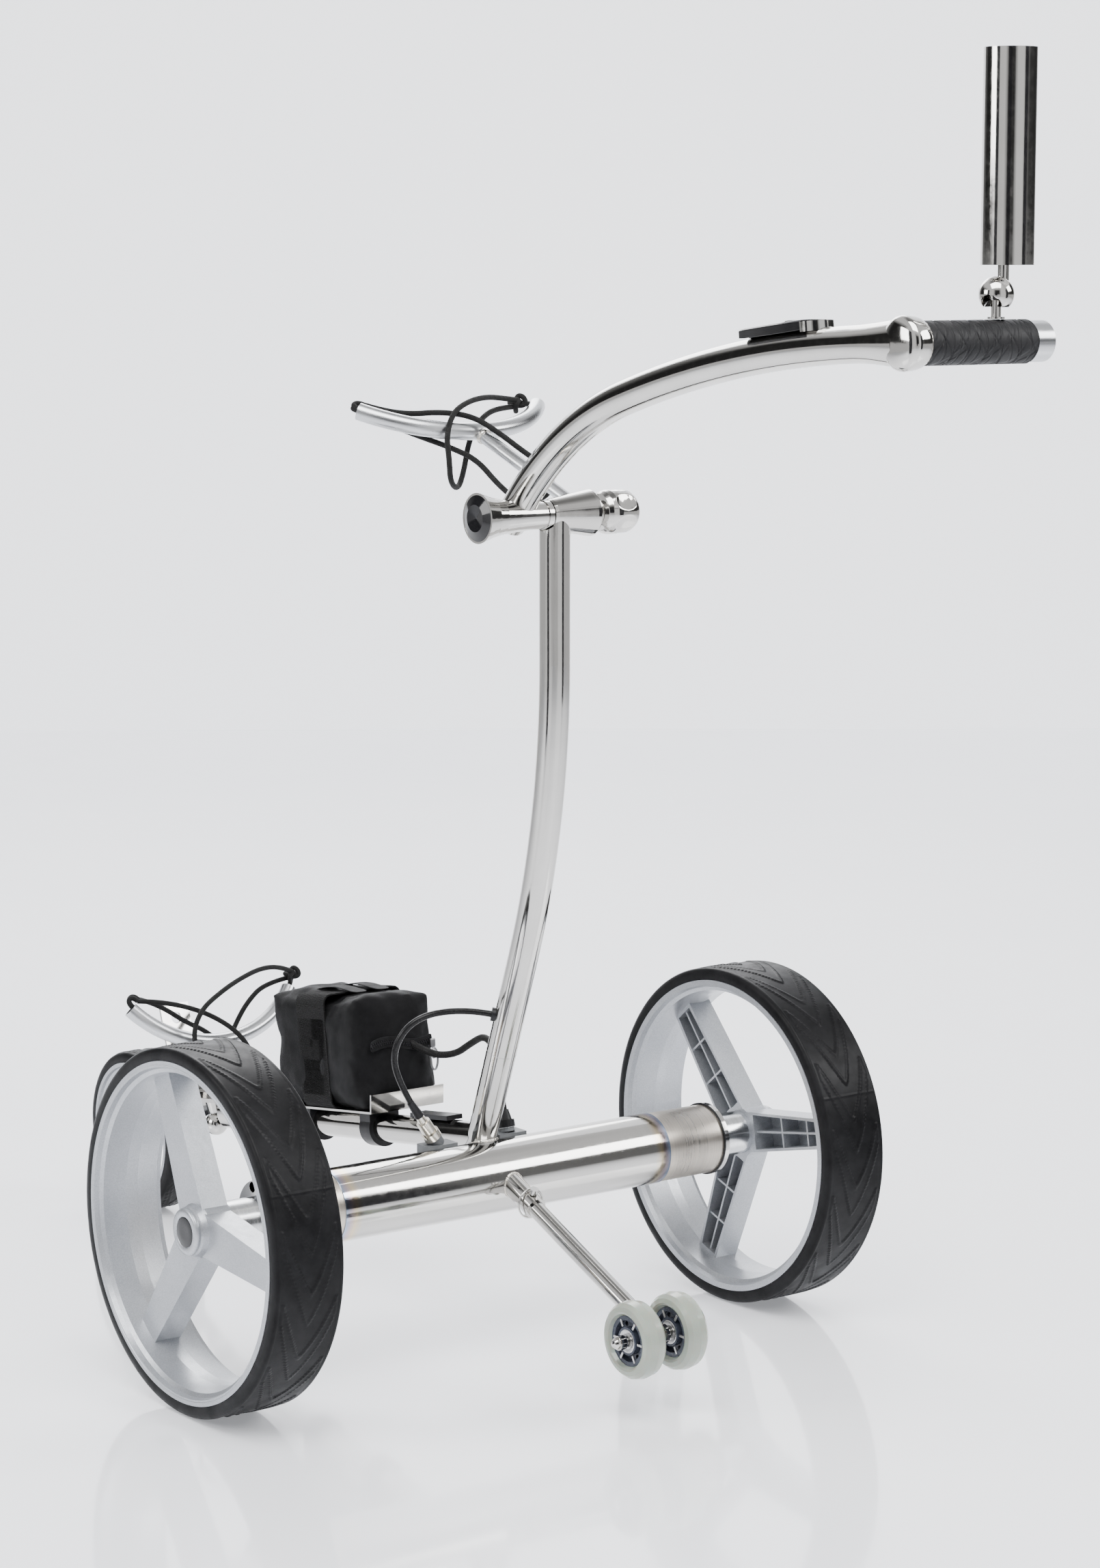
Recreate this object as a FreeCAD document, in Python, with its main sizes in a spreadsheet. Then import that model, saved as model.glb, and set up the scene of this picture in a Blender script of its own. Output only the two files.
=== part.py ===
import FreeCAD, Part
import math
import os

import Sketcher

# Three-wheeled stainless steel electric golf trolley, in millimetres.
# +Z is up, the floor is z = 0 and the origin lies on it under the middle of the rear axle.
# +X is the trolley's left, and the front wheel points along -Y.

Vector = FreeCAD.Vector
Rotation = FreeCAD.Rotation
Placement = FreeCAD.Placement
EAST, NORTH, UP = Vector(1, 0, 0), Vector(0, 1, 0), Vector(0, 0, 1)

doc = FreeCAD.newDocument("golf_trolley")
sheet = doc.addObject("Spreadsheet::Sheet", "dims")

DIMENSIONS = [
    ("wheel_radius", 165), ("wheel_width", 69.5), ("tread_half", 34.4), ("tread_flat", 30),
    ("lip_radius", 152.6), ("seat_radius", 150.3), ("barrel_radius", 139), ("barrel_edge", 142),
    ("wheel_offset", 306), ("rim_lip_inner", 147), ("hub_radius", 21), ("hub_bore", 8.2),
    ("hub_inner_face", -14), ("hub_outer_face", 26), ("spoke_root", 40), ("spoke_tip", 27),
    ("spoke_depth", 26), ("spoke_wall", 3), ("spoke_back", -10), ("left_phase", 113),
    ("right_phase", 10),
    ("axle_radius", 34), ("axle_wall", 2), ("axle_half", 185), ("sleeve_radius", 33.3),
    ("sleeve_bore", 31.4), ("sleeve_end", 250), ("flange_radius", 34.6), ("flange_thick", 5),
    ("collar_radius", 21), ("shaft_radius", 8.1), ("shaft_bush", 13),
    ("motor_radius", 29), ("motor_inner", 70), ("gearbox_start", 176), ("motor_end", 244),
    ("pivot_bolt", 6.2),
    ("tube_radius", 14), ("tube_wall", 1.8), ("spigot_length", 62), ("mast_lean", 20),
    ("mast_foot_back", -30), ("stub_length", 129.6), ("mast_straight", 101.3),
    ("mast_bend", 796), ("pivot_back", 97), ("pivot_height", 788),
    ("bar_plane", 36), ("bar_radius", 15), ("bar_wall", 1.8), ("bar_start_back", 77.5),
    ("bar_start_height", 780.4), ("bar_heading", 48), ("bar_straight", 30),
    ("bar_bend_one", 326), ("bar_mid_heading", 16.6), ("bar_bend_two", 1246),
    ("bar_end_heading", 1.2), ("bar_tail", 27),
    ("cross_back", 603.5), ("cross_height", 949.2), ("grip_radius", 17.5), ("grip_inner", 13),
    ("grip_start", 30.5), ("grip_end", -84.4), ("knob_end", -103.6), ("cross_outer", 51),
    ("cross_radius", 21.5),
    ("cradle_tube", 8), ("cradle_wall", 1.5), ("upper_bend", 127.2), ("upper_back", -139.1),
    ("upper_height", 907.2), ("upper_tilt", 23.3), ("lower_bend", 121.9), ("lower_back", -540.2),
    ("lower_height", 317.6), ("lower_tilt", 61.5), ("cradle_half", 51.5), ("stem_radius", 6),
    ("joint_back", -151), ("joint_height", 181), ("frame_slope", 7.8), ("front_length", 318),
    ("bag_half", 43.9), ("bag_rear", -8.3), ("bag_front", 154.1), ("bag_low", 23.5),
    ("bag_high", 133.6),
    ("front_back", -640), ("front_radius", 86), ("front_width", 42), ("front_lip", 74),
    ("front_seat", 72.4), ("front_hub", 15), ("front_hub_half", 19), ("front_bolt", 5),
    ("fork_half", 29), ("fork_thick", 4), ("fork_width", 22),
    ("skate_offset", 23.5), ("skate_back", 247.6), ("skate_height", 72.3), ("skate_radius", 35),
    ("skate_width", 24), ("skate_core", 22.5), ("skate_bolt", 4), ("arm_radius", 8),
    ("arm_slope", 23), ("socket_radius", 10.4), ("socket_length", 50),
    ("holder_radius", 21), ("holder_bore", 19.8), ("holder_low", 1008.6), ("holder_high", 1175.4),
    ("holder_side", -64), ("ball_side", -53), ("ball_height", 986), ("ball_radius", 14),
    ("lead_radius", 3), ("battery_lead_radius", 3.5), ("elastic_radius", 2.6),
]

for row, (alias, value) in enumerate(DIMENSIONS, start=1):
    sheet.set(f"A{row}", alias)
    sheet.set(f"B{row}", str(value))
    sheet.setAlias(f"B{row}", alias)
doc.recompute()


def size(alias):
    """A driving dimension as a number."""
    return float(sheet.get(alias))


def bound(obj, **expressions):
    """Bind an object's properties to expressions of the sheet's cells."""
    for name, expression in expressions.items():
        obj.setExpression(name, str(expression))
    return obj


def put(obj, at, turn=None):
    """Set an object's rotation, and bind its position to three expressions or numbers."""
    obj.Placement = Placement(Vector(0, 0, 0), turn or Rotation())
    for letter, value in zip("xyz", at):
        obj.setExpression(f"Placement.Base.{letter}", str(value))
    return obj


def cylinder(radius, length, at=(0, 0, 0), along=UP):
    """Solid round bar from a point, along a direction."""
    bar = bound(doc.addObject("Part::Cylinder", "bar"), Radius=radius, Height=length)
    return put(bar, at, Rotation(UP, along))


def cone(radius_one, radius_two, length, at=(0, 0, 0), along=UP):
    """Solid round taper from a point, along a direction."""
    taper = doc.addObject("Part::Cone", "taper")
    bound(taper, Radius1=radius_one, Radius2=radius_two, Height=length)
    return put(taper, at, Rotation(UP, along))


def sphere(radius, at):
    """Solid ball about a point."""
    return put(bound(doc.addObject("Part::Sphere", "ball"), Radius=radius), at)


def block(length, width, height, at, turn=None):
    """Solid box from its corner."""
    box = bound(doc.addObject("Part::Box", "block"), Length=length, Width=width, Height=height)
    return put(box, at, turn)


def fuse(parts, label="joined"):
    """Union of solids."""
    union = doc.addObject("Part::MultiFuse", label)
    union.Shapes = parts
    union.Refine = True
    return union


def cut(base, tool, label="trimmed"):
    """One solid less another."""
    rest = doc.addObject("Part::Cut", label)
    rest.Base = base
    rest.Tool = tool
    rest.Refine = True
    return rest


NODES = {}


def node(name, obj):
    """Name a finished sub-part."""
    obj.Label = name
    NODES[name] = obj
    return obj


def group(name, parts):
    """Several separate solids kept as one sub-part."""
    compound = doc.addObject("Part::Compound", name)
    compound.Links = parts
    return node(name, compound)


def tube(outer, inner, length, at, along):
    """Open round tube."""
    return cut(cylinder(outer, length, at, along), cylinder(inner, length, at, along))


def turned(name, corners, at=(0, 0, 0), turn=None):
    """Body revolved about its X axis from a closed outline of (along, radius) expressions."""
    body = doc.addObject("PartDesign::Body", name)
    sketch = body.newObject("Sketcher::SketchObject", name + "_outline")
    plane = next(item for item in body.Origin.OriginFeatures if item.Role == "XY_Plane")
    sketch.AttachmentSupport = [(plane, "")]
    sketch.MapMode = "FlatFace"
    doc.recompute()
    places = [[float(sketch.evalExpression(str(term))) for term in corner] for corner in corners]
    count = len(places)
    for index in range(count):
        first, last = places[index], places[(index + 1) % count]
        sketch.addGeometry(Part.LineSegment(Vector(*first, 0), Vector(*last, 0)), False)
    for index in range(count):
        sketch.addConstraint(Sketcher.Constraint("Coincident", index, 2, (index + 1) % count, 1))
    for index, corner in enumerate(corners):
        for kind, term, value in zip(("DistanceX", "DistanceY"), corner, places[index]):
            rule = sketch.addConstraint(Sketcher.Constraint(kind, -1, 1, index, 1, value))
            sketch.setExpression(f"Constraints[{rule}]", str(term))
    revolve = body.newObject("PartDesign::Revolution", name + "_turn")
    revolve.Profile = sketch
    revolve.ReferenceAxis = (sketch, ["H_Axis"])
    revolve.Angle = 360
    sketch.Visibility = False
    put(body, at, turn)
    return body


def bent_bar(radius, plane, start, heading, legs):
    """Round bar in a YZ plane: straight legs and bends, joined tangent to tangent.

    start is (y, z) and heading is degrees up from +Y. A leg is (length,) or (bend, turn), where
    turn is degrees and positive turns it upwards. Sizes are expressions.
    """
    spot = Vector(plane, *start)
    angle = math.radians(heading)
    pieces = []
    for leg in legs:
        ahead = Vector(0, math.cos(angle), math.sin(angle))
        if len(leg) == 1:
            pieces.append(cylinder(radius, leg[0], spot, ahead))
            spot = spot + ahead * float(sheet.evalExpression(str(leg[0])))
            continue
        bend, turn = leg
        reach = float(sheet.evalExpression(str(bend)))
        sense = math.copysign(1, turn)
        spin = EAST * sense
        centre = spot + spin.cross(ahead) * reach
        outward = (spot - centre).normalize()
        ring = bound(doc.addObject("Part::Torus", "bend"), Radius1=bend, Radius2=radius)
        ring.Angle3 = abs(turn)
        put(ring, centre, Rotation(outward, ahead, spin, "ZXY"))
        pieces.append(ring)
        angle += math.radians(turn)
        after = Vector(0, math.cos(angle), math.sin(angle))
        spot = centre - spin.cross(after) * reach
    return fuse(pieces), spot


def strip(name, side_points, thick, low_x, high_x):
    """Bent flat strip: a side view's centre line given as (y, z) points, thickened and padded."""
    half = thick / 2
    count = len(side_points)
    left, right = [], []
    for index, (y, z) in enumerate(side_points):
        before = side_points[max(index - 1, 0)]
        after = side_points[min(index + 1, count - 1)]
        arrive = Vector(0, y - before[0], z - before[1])
        leave = Vector(0, after[0] - y, after[1] - z)
        arrive = arrive.normalize() if arrive.Length else leave.normalize()
        leave = leave.normalize() if leave.Length else arrive
        normal = EAST.cross((arrive + leave).normalize())
        spread = half / normal.dot(EAST.cross(arrive))
        left.append(Vector(low_x, y, z) + normal * spread)
        right.append(Vector(low_x, y, z) - normal * spread)
    outline = left + right[::-1]
    face = Part.Face(Part.makePolygon(outline + outline[:1]))
    plate = doc.addObject("Part::Feature", name)
    plate.Shape = face.extrude(Vector(high_x - low_x, 0, 0))
    return plate


def cord(name, route, radius):
    """Cord of straight runs and tangent arcs through a hand-set route, with its size check."""
    points = [Vector(*point) for point in route]
    edges, here, radii = [], points[0], []
    for index in range(1, len(points) - 1):
        corner = points[index]
        arrive, leave = corner - points[index - 1], points[index + 1] - corner
        run = min(arrive.Length, leave.Length)
        arrive.normalize()
        leave.normalize()
        half_turn = arrive.getAngle(leave) / 2
        trim = 0.45 * run
        bend = trim / math.tan(half_turn)
        radii.append(bend)
        enter, exit_point = corner - arrive * trim, corner + leave * trim
        inward = (leave - arrive).normalize()
        middle = corner + inward * (bend / math.cos(half_turn) - bend)
        edges.append(Part.LineSegment(here, enter).toShape())
        edges.append(Part.Arc(enter, middle, exit_point).toShape())
        here = exit_point
    edges.append(Part.LineSegment(here, points[-1]).toShape())
    path = Part.Wire(edges)
    heading = (points[1] - points[0]).normalize()
    section = Part.Wire(Part.makeCircle(radius, points[0], heading))
    solid = path.makePipeShell([section], True, False)
    wanted = math.pi * radius ** 2 * path.Length
    print(f"{name}: length {path.Length:.1f}, tightest bend {min(radii):.1f}, "
          f"volume {solid.Volume / wanted:.4f} of section x length")
    feature = doc.addObject("Part::Feature", name)
    feature.Shape = solid
    return feature


# Places used by several sub-parts
AXLE = size("wheel_radius")
LEAN = math.radians(size("mast_lean"))
MAST_UP = Vector(0, math.sin(LEAN), math.cos(LEAN))
MAST_FOOT = Vector(0, size("mast_foot_back"), AXLE)
MAST_JOINT = MAST_FOOT + MAST_UP * size("stub_length")
PIVOT = Vector(0, size("pivot_back"), size("pivot_height"))
GRIP_AXIS = Vector(0, size("cross_back"), size("cross_height"))
SLOPE = math.radians(size("frame_slope"))
FRAME_AHEAD = Vector(0, -math.cos(SLOPE), -math.sin(SLOPE))
FRAME_ABOVE = Vector(0, -math.sin(SLOPE), math.cos(SLOPE))
FRAME_TURN = Rotation(EAST, size("frame_slope"))
ARM_SLOPE = math.radians(size("arm_slope"))
ARM_OUT = Vector(0, math.cos(ARM_SLOPE), -math.sin(ARM_SLOPE))
ARM_ACROSS = Vector(0, math.sin(ARM_SLOPE), math.cos(ARM_SLOPE))
SKATE_AXIS = Vector(0, size("skate_back"), size("skate_height"))
SKIN = 0.1
PIVOT_BORE = 6.25
KNOB_STUB = 5
GROMMET_HIGH = 2.8
GROMMET_OUT = Vector(0.82, -0.54, 0.196).normalize()
GROMMET = MAST_FOOT + MAST_UP * 166 + GROMMET_OUT * size("tube_radius")
BORE_GAP = 0.05


def frame_spot(side, ahead, above):
    """A point of the front frame: sideways, ahead of the tube joint, and above the tube's axis."""
    origin = Vector(side, size("joint_back"), size("joint_height"))
    return origin + FRAME_AHEAD * ahead + FRAME_ABOVE * above


def frame_block(half_width, far, near, low, high):
    """Box square to the front tube."""
    corner = frame_spot(-half_width, far, low)
    return block(2 * half_width, far - near, high - low, corner, FRAME_TURN)


def axle_solid():
    """The axle tube's outside as a cutting tool."""
    return cylinder("dims.axle_radius", "2 * dims.axle_half",
                    ("-dims.axle_half", 0, "dims.wheel_radius"), EAST)


def make_axle():
    """Axle tube with a motor, gearbox, sleeve, flange, seal and bearing at each end."""
    node("axle_tube", tube("dims.axle_radius", "dims.axle_radius - dims.axle_wall",
                           "2 * dims.axle_half", ("-dims.axle_half", 0, "dims.wheel_radius"), EAST))
    sleeves, flanges, seals, bearings, motors = [], [], [], [], []
    seal_thick = 1.5
    gland_radius, gland_back, gland_up = 4.8, -10, 27
    for side in (1, -1):
        out = EAST * side
        start = side * size("axle_half")
        sleeves.append(tube("dims.sleeve_radius", "dims.sleeve_bore",
                            "dims.sleeve_end - dims.axle_half", (start, 0, AXLE), out))
        end = side * size("sleeve_end")
        seals.append(tube("dims.flange_radius + 0.4", "dims.sleeve_bore", seal_thick,
                          (end, 0, AXLE), out))
        face = end + side * seal_thick
        plate = tube("dims.flange_radius", "dims.shaft_bush", "dims.flange_thick",
                     (face, 0, AXLE), out)
        gland = cylinder(gland_radius, "dims.flange_thick",
                         (face, gland_back, AXLE + gland_up), out)
        flanges.append(cut(plate, gland))
        bearings.append(tube("dims.shaft_bush", f"dims.shaft_radius + {BORE_GAP}",
                             "dims.flange_thick", (face, 0, AXLE), out))
        can = cylinder("dims.motor_radius", "dims.gearbox_start - dims.motor_inner",
                       (side * size("motor_inner"), 0, AXLE), out)
        gears = cylinder("dims.motor_radius + 2", "dims.motor_end - dims.gearbox_start",
                         (side * size("gearbox_start"), 0, AXLE), out)
        motors.append(fuse([can, gears]))
    group("motor_sleeves", sleeves)
    group("end_flanges", flanges)
    group("flange_seals", seals)
    group("shaft_bearings", bearings)
    group("motors", motors)


def spoke(centre, out, phase, reach, root, tip, depth, back, hub, wall):
    """Box spoke, closed outboard and open inboard, with a long rib and two cross ribs."""
    angle = math.radians(phase)
    radial = Vector(0, math.cos(angle), math.sin(angle))
    turn = Rotation(radial.cross(out), radial, out, "ZXY")
    start, inner_end = hub * 0.5, reach - 3
    foot = centre + out * back

    def wedge(low, high, root_half, tip_half, low_z, high_z):
        shape = doc.addObject("Part::Wedge", "wedge")
        bound(shape, Xmin=-root_half, Xmax=root_half, Zmin=low_z, Zmax=high_z, Ymin=low,
              X2min=-tip_half, X2max=tip_half, Z2min=low_z, Z2max=high_z, Ymax=high)
        return put(shape, foot, turn)

    outer = wedge(start, reach, root / 2, tip / 2, 0, depth)
    hollow = wedge(hub + wall, inner_end - wall, root / 2 - wall, tip / 2 - wall, -1, depth - wall)
    long_rib = wedge(hub, inner_end, 1, 1, wall, depth - 1)
    ribs = [long_rib]
    for share in (0.36, 0.68):
        at = hub + share * (inner_end - hub)
        half = root / 2 + (tip - root) / 2 * (at - start) / (reach - start) - wall / 2
        ribs.append(wedge(at - 1, at + 1, half, half, wall, depth - 1))
    return fuse([cut(outer, hollow)] + ribs)


def make_rear_wheels():
    """Rear wheels: tyre, one-piece rim with three box spokes and hub, and drive shaft."""
    bead, nose = 1.5, 5
    for side, name in ((1, "left"), (-1, "right")):
        centre = Vector(side * size("wheel_offset"), 0, AXLE)
        out = EAST * side
        turn = Rotation(UP, 0 if side == 1 else 180)
        half, flat = "dims.tread_half", "dims.tread_flat"
        lip, seat = "(dims.lip_radius + 0.2)", "(dims.seat_radius + 0.1)"
        tyre = [(f"-{half}", lip), (f"-{half}", "dims.wheel_radius - 5.5"),
                (f"-{half} + 1.4", f"dims.wheel_radius - {bead}"), (f"-{flat}", "dims.wheel_radius"),
                (flat, "dims.wheel_radius"), (f"{half} - 1.4", f"dims.wheel_radius - {bead}"),
                (half, "dims.wheel_radius - 5.5"), (half, lip), (f"{half} - 3.6", lip),
                (f"{half} - 3.6", seat), (f"-{half} + 3.6", seat), (f"-{half} + 3.6", lip)]
        node(f"tyre_{name}", turned(f"tyre_{name}", tyre, centre, turn))
        edge = "dims.wheel_width / 2"
        barrel = [(f"-{edge}", "dims.lip_radius"), (f"-{edge} + 3.8", "dims.lip_radius"),
                  (f"-{edge} + 3.8", "dims.seat_radius"), (f"{edge} - 3.8", "dims.seat_radius"),
                  (f"{edge} - 3.8", "dims.lip_radius"), (edge, "dims.lip_radius"),
                  (edge, "dims.rim_lip_inner"), (f"{edge} - 4.5", "dims.rim_lip_inner - 1.5"),
                  (f"{edge} - 7", "dims.barrel_edge"), (6, "dims.barrel_radius"),
                  (-6, "dims.barrel_radius"), (f"-{edge} + 7", "dims.barrel_edge"),
                  (f"-{edge} + 4.5", "dims.rim_lip_inner - 1.5"), (f"-{edge}", "dims.rim_lip_inner")]
        inner, outer, core = "dims.hub_inner_face", "dims.hub_outer_face", "dims.hub_bore"
        hub = [(inner, core), (inner, "dims.hub_radius"), ("dims.spoke_back", "dims.hub_radius"),
               ("dims.spoke_back", "dims.hub_radius + 4"), (14, "dims.hub_radius + 4"),
               (f"{outer} - {nose}", "dims.hub_radius + 1"), (outer, "dims.hub_radius - 3"),
               (outer, 0.01), (f"{outer} - {nose}", 0.01), (f"{outer} - {nose}", core)]
        phase = size(f"{name}_phase")
        spokes = [spoke(centre, out, phase + 120 * step, size("barrel_radius") + 3,
                        size("spoke_root"), size("spoke_tip"), size("spoke_depth"),
                        size("spoke_back"), size("hub_radius"), size("spoke_wall"))
                  for step in range(3)]
        node(f"rim_{name}", fuse([turned(f"barrel_{name}", barrel, centre, turn),
                                  turned(f"hub_{name}", hub, centre, turn)] + spokes))
        collar_start = size("sleeve_end") + 1.5 + size("flange_thick") + 0.6
        collar_end = size("wheel_offset") + size("hub_inner_face")
        shaft_end = size("wheel_offset") + size("hub_outer_face") - nose - 0.3
        shaft = cylinder("dims.shaft_radius", shaft_end - size("motor_end") - 0.4,
                         (side * (size("motor_end") + 0.4), 0, AXLE), out)
        collar = cylinder("dims.collar_radius", collar_end - collar_start,
                          (side * collar_start, 0, AXLE), out)
        screw_hole = cylinder(2, 8, (side * (collar_start + 9), 0, AXLE + 15), UP)
        node(f"drive_shaft_{name}", cut(fuse([shaft, collar]), screw_hole))


def make_stubs():
    """Stubs welded on the axle tube; the mast slides down over the spigot in the taller one."""
    wall_radius = "dims.tube_radius - dims.tube_wall"
    stub = tube("dims.tube_radius", wall_radius, "dims.stub_length", MAST_FOOT, MAST_UP)
    spigot_start = MAST_JOINT - MAST_UP * 30
    spigot = tube(f"{wall_radius} - {BORE_GAP}", f"{wall_radius} - 1.6",
                  "dims.spigot_length + 30", spigot_start, MAST_UP)
    weld = tube(wall_radius, f"{wall_radius} - 1.6", 8, MAST_JOINT - MAST_UP * 12, MAST_UP)
    stub_reach = 135
    front = tube("dims.tube_radius", wall_radius, stub_reach,
                 frame_spot(0, -stub_reach, 0), FRAME_AHEAD)
    mast_solid = cylinder("dims.tube_radius + 0.2", "dims.stub_length", MAST_FOOT, MAST_UP)
    front_stub = cut(cut(front, axle_solid()), mast_solid)
    group("frame_stubs", [cut(fuse([stub, spigot, weld]), axle_solid()), front_stub])


def make_front_frame():
    """Front tube, fork, front bolt, cradle clamp and toe plate."""
    wall = "dims.tube_radius - dims.tube_wall"
    node("front_tube", tube("dims.tube_radius", wall, "dims.front_length",
                            frame_spot(0, 0, 0), FRAME_AHEAD))
    ring = tube("dims.tube_radius + 3", "dims.tube_radius", 33, frame_spot(0, 285, 0), FRAME_AHEAD)
    crown = frame_block(33, 372, 290, 14.5, 18.5)
    crown_top = frame_spot(0, 362, 16.5)
    axle_back, axle_up = size("front_back"), size("front_radius")
    run = Vector(0, crown_top.y - axle_back, crown_top.z - axle_up)
    rise = Vector(run).normalize()
    across = EAST.cross(rise)
    hole = cylinder("dims.front_bolt", 80, (-40, axle_back, axle_up), EAST)
    blades = []
    for side in (1, -1):
        inner = side * size("fork_half") - (size("fork_thick") if side < 0 else 0)
        corner = Vector(inner, axle_back, axle_up) - across * (size("fork_width") / 2)
        blades.append(block("dims.fork_thick", run.Length, "dims.fork_width", corner,
                            Rotation(EAST, rise, across, "ZXY")))
        blades.append(cylinder("dims.fork_width / 2", "dims.fork_thick",
                               (inner, axle_back, axle_up), EAST))
    bolt_at = 350
    bolt_hole = cylinder(5.2, 60, frame_spot(0, bolt_at, -10), FRAME_ABOVE)
    node("fork", cut(fuse([ring, crown] + blades), fuse([hole, bolt_hole])))
    plate_top = 21.8
    bolt = cylinder(5, 41, frame_spot(0, bolt_at, -18), FRAME_ABOVE)
    head = cylinder(8, 4, frame_spot(0, bolt_at, plate_top), FRAME_ABOVE)
    ball = sphere(12, frame_spot(0, bolt_at, -14))
    taper = cone(6, 10, 16.4, frame_spot(0, bolt_at, -2), FRAME_ABOVE)
    ball_tool = sphere(12.05, frame_spot(0, bolt_at, -14))
    bolt_tool = cylinder(5.1, 60, frame_spot(0, bolt_at, -20), FRAME_ABOVE)
    group("clamp_bolt", [fuse([bolt, head, ball]), cut(taper, fuse([ball_tool, bolt_tool]))])
    level = (18.5 + plate_top) / 2
    low, high = frame_spot(0, 296, level), frame_spot(0, 372, level)
    side_view = [(low.y, low.z), (high.y, high.z), (-566, 190), (-581, 233)]
    plate = strip("toe_strip", side_view, plate_top - 18.6, -17, 17)
    lip_hole = cylinder(6, 20, (0, -586, 219), NORTH)
    plate_hole = cylinder(5.2, 60, frame_spot(0, bolt_at, -10), FRAME_ABOVE)
    node("toe_plate", cut(plate, fuse([lip_hole, plate_hole])))


def crescent(bend, back, height, tilt):
    """Hollow bag cradle bend, opening away from its middle, and the middle's place."""
    slant = math.radians(size(tilt))
    towards = Vector(0, math.cos(slant), -math.sin(slant))
    normal = towards.cross(EAST)
    half = math.radians(size("cradle_half"))
    start = towards * math.cos(half) - EAST * math.sin(half)
    turn = Rotation(start, normal.cross(start), normal, "ZXY")
    centre = (0, back, height)
    rings = []
    for radius in ("dims.cradle_tube", "dims.cradle_tube - dims.cradle_wall"):
        ring = bound(doc.addObject("Part::Torus", "ring"), Radius1=bend, Radius2=radius,
                     Angle3="2 * dims.cradle_half")
        rings.append(put(ring, centre, turn))
    place = Vector(0, size(back[5:]), size(height[5:]))
    middle = place + towards * size(bend[5:])
    solid_ring = bound(doc.addObject("Part::Torus", "ring"), Radius1=bend,
                       Radius2="dims.cradle_tube", Angle3="2 * dims.cradle_half")
    return cut(rings[0], rings[1]), middle, put(solid_ring, centre, turn)


def make_lower_cradle():
    """Lower bag cradle on its post."""
    ring, middle, ring_tool = crescent("dims.lower_bend", "dims.lower_back",
                                       "dims.lower_height", "lower_tilt")
    ahead = (middle - frame_spot(0, 0, 0)).dot(FRAME_AHEAD)
    above = (middle - frame_spot(0, 0, 0)).dot(FRAME_ABOVE)
    foot = frame_spot(0, ahead, 21.8)
    post = cut(cylinder("dims.stem_radius", above - 21.8, foot, FRAME_ABOVE), ring_tool)
    node("lower_cradle", fuse([ring, post]))


def make_battery():
    """Tray on two saddles, soft battery bag, the pack in it, and the strap round both."""
    tray_far, tray_near, tray_low, lip_high = 150, -12, 20.5, 39
    points = [frame_spot(0, tray_far, tray_low + 1), frame_spot(0, tray_near, tray_low + 1),
              frame_spot(0, tray_near - 2.5, lip_high)]
    tray = strip("tray_sheet", [(point.y, point.z) for point in points], 2, -42, 42)
    node("tray", tray)
    saddles = []
    for at in (38, 146):
        clip = tube("dims.tube_radius + 4.5", "dims.tube_radius", 18,
                    frame_spot(0, at - 9, 0), FRAME_AHEAD)
        seat = cut(frame_block(17, at + 9, at - 9, 4, tray_low),
                   cylinder("dims.tube_radius", 60, frame_spot(0, at - 30, 0), FRAME_AHEAD))
        saddles.append(fuse([clip, seat]))
    latch_tongue = frame_block(9, -30, -92, 14.2, 18.6)
    group("tray_saddles", saddles + [latch_tongue])
    half, front, rear = size("bag_half"), size("bag_front"), size("bag_rear")
    low, high, wall = size("bag_low"), size("bag_high"), 5
    bag = frame_block(half, front, rear, low, high)
    cavity = frame_block(half - wall, front - wall, rear + wall, low + wall, high - wall)
    node("battery_bag", cut(bag, cavity))
    inside = wall + 1
    node("battery_pack", frame_block(half - inside, front - inside, rear + inside,
                                     low + inside, high - inside))
    strap_far, strap_near, gap, thick = 100, 50, 0.3, 1.8
    band = frame_block(half + gap + thick, strap_far, strap_near, 17.9, high + gap + thick)
    window = frame_block(half + gap, strap_far + 1, strap_near - 1, 19.7, high + gap)
    node("hook_strap", cut(band, window))


PLUG_BASE = Vector(49, -20, 199.5)
PLUG_AXIS = Vector(20, 0, 29).normalize()
BATTERY_PLUG_BASE = Vector(-31, -20, 199.5)
BATTERY_PLUG_AXIS = Vector(0, -6, 20).normalize()


def make_sockets():
    """Socket blocks on the axle tube, with their plugs."""
    top, low, near, far = 200, 186, -30, -11
    left = block(33, far - near, top - low, (32, near, low))
    right = block(31, far - near, top - low, (-47, near, low))
    mast_tool = cylinder("dims.tube_radius", "dims.stub_length", MAST_FOOT, MAST_UP)
    left_ring = cylinder(7.5, 8, PLUG_BASE, PLUG_AXIS)
    right_ring = cylinder(7.5, 4, BATTERY_PLUG_BASE, BATTERY_PLUG_AXIS)
    blocks = [cut(fuse([left, left_ring]), axle_solid()),
              cut(cut(fuse([right, right_ring]), axle_solid()), mast_tool)]
    group("socket_blocks", blocks)
    for name, base, axis in (("cable_plug", PLUG_BASE, PLUG_AXIS),
                             ("battery_plug", BATTERY_PLUG_BASE, BATTERY_PLUG_AXIS)):
        if name == "cable_plug":
            parts = [cylinder(8.5, 7, base + axis * 8.1, axis),
                     cylinder(6.6, 13, base + axis * 15, axis),
                     cone(4.6, 3.6, 8, base + axis * 28, axis)]
        else:
            parts = [cylinder(8.5, 7, base + axis * 4.1, axis),
                     cone(6.4, 4.6, 10, base + axis * 11, axis)]
        node(name, fuse(parts))


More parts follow.
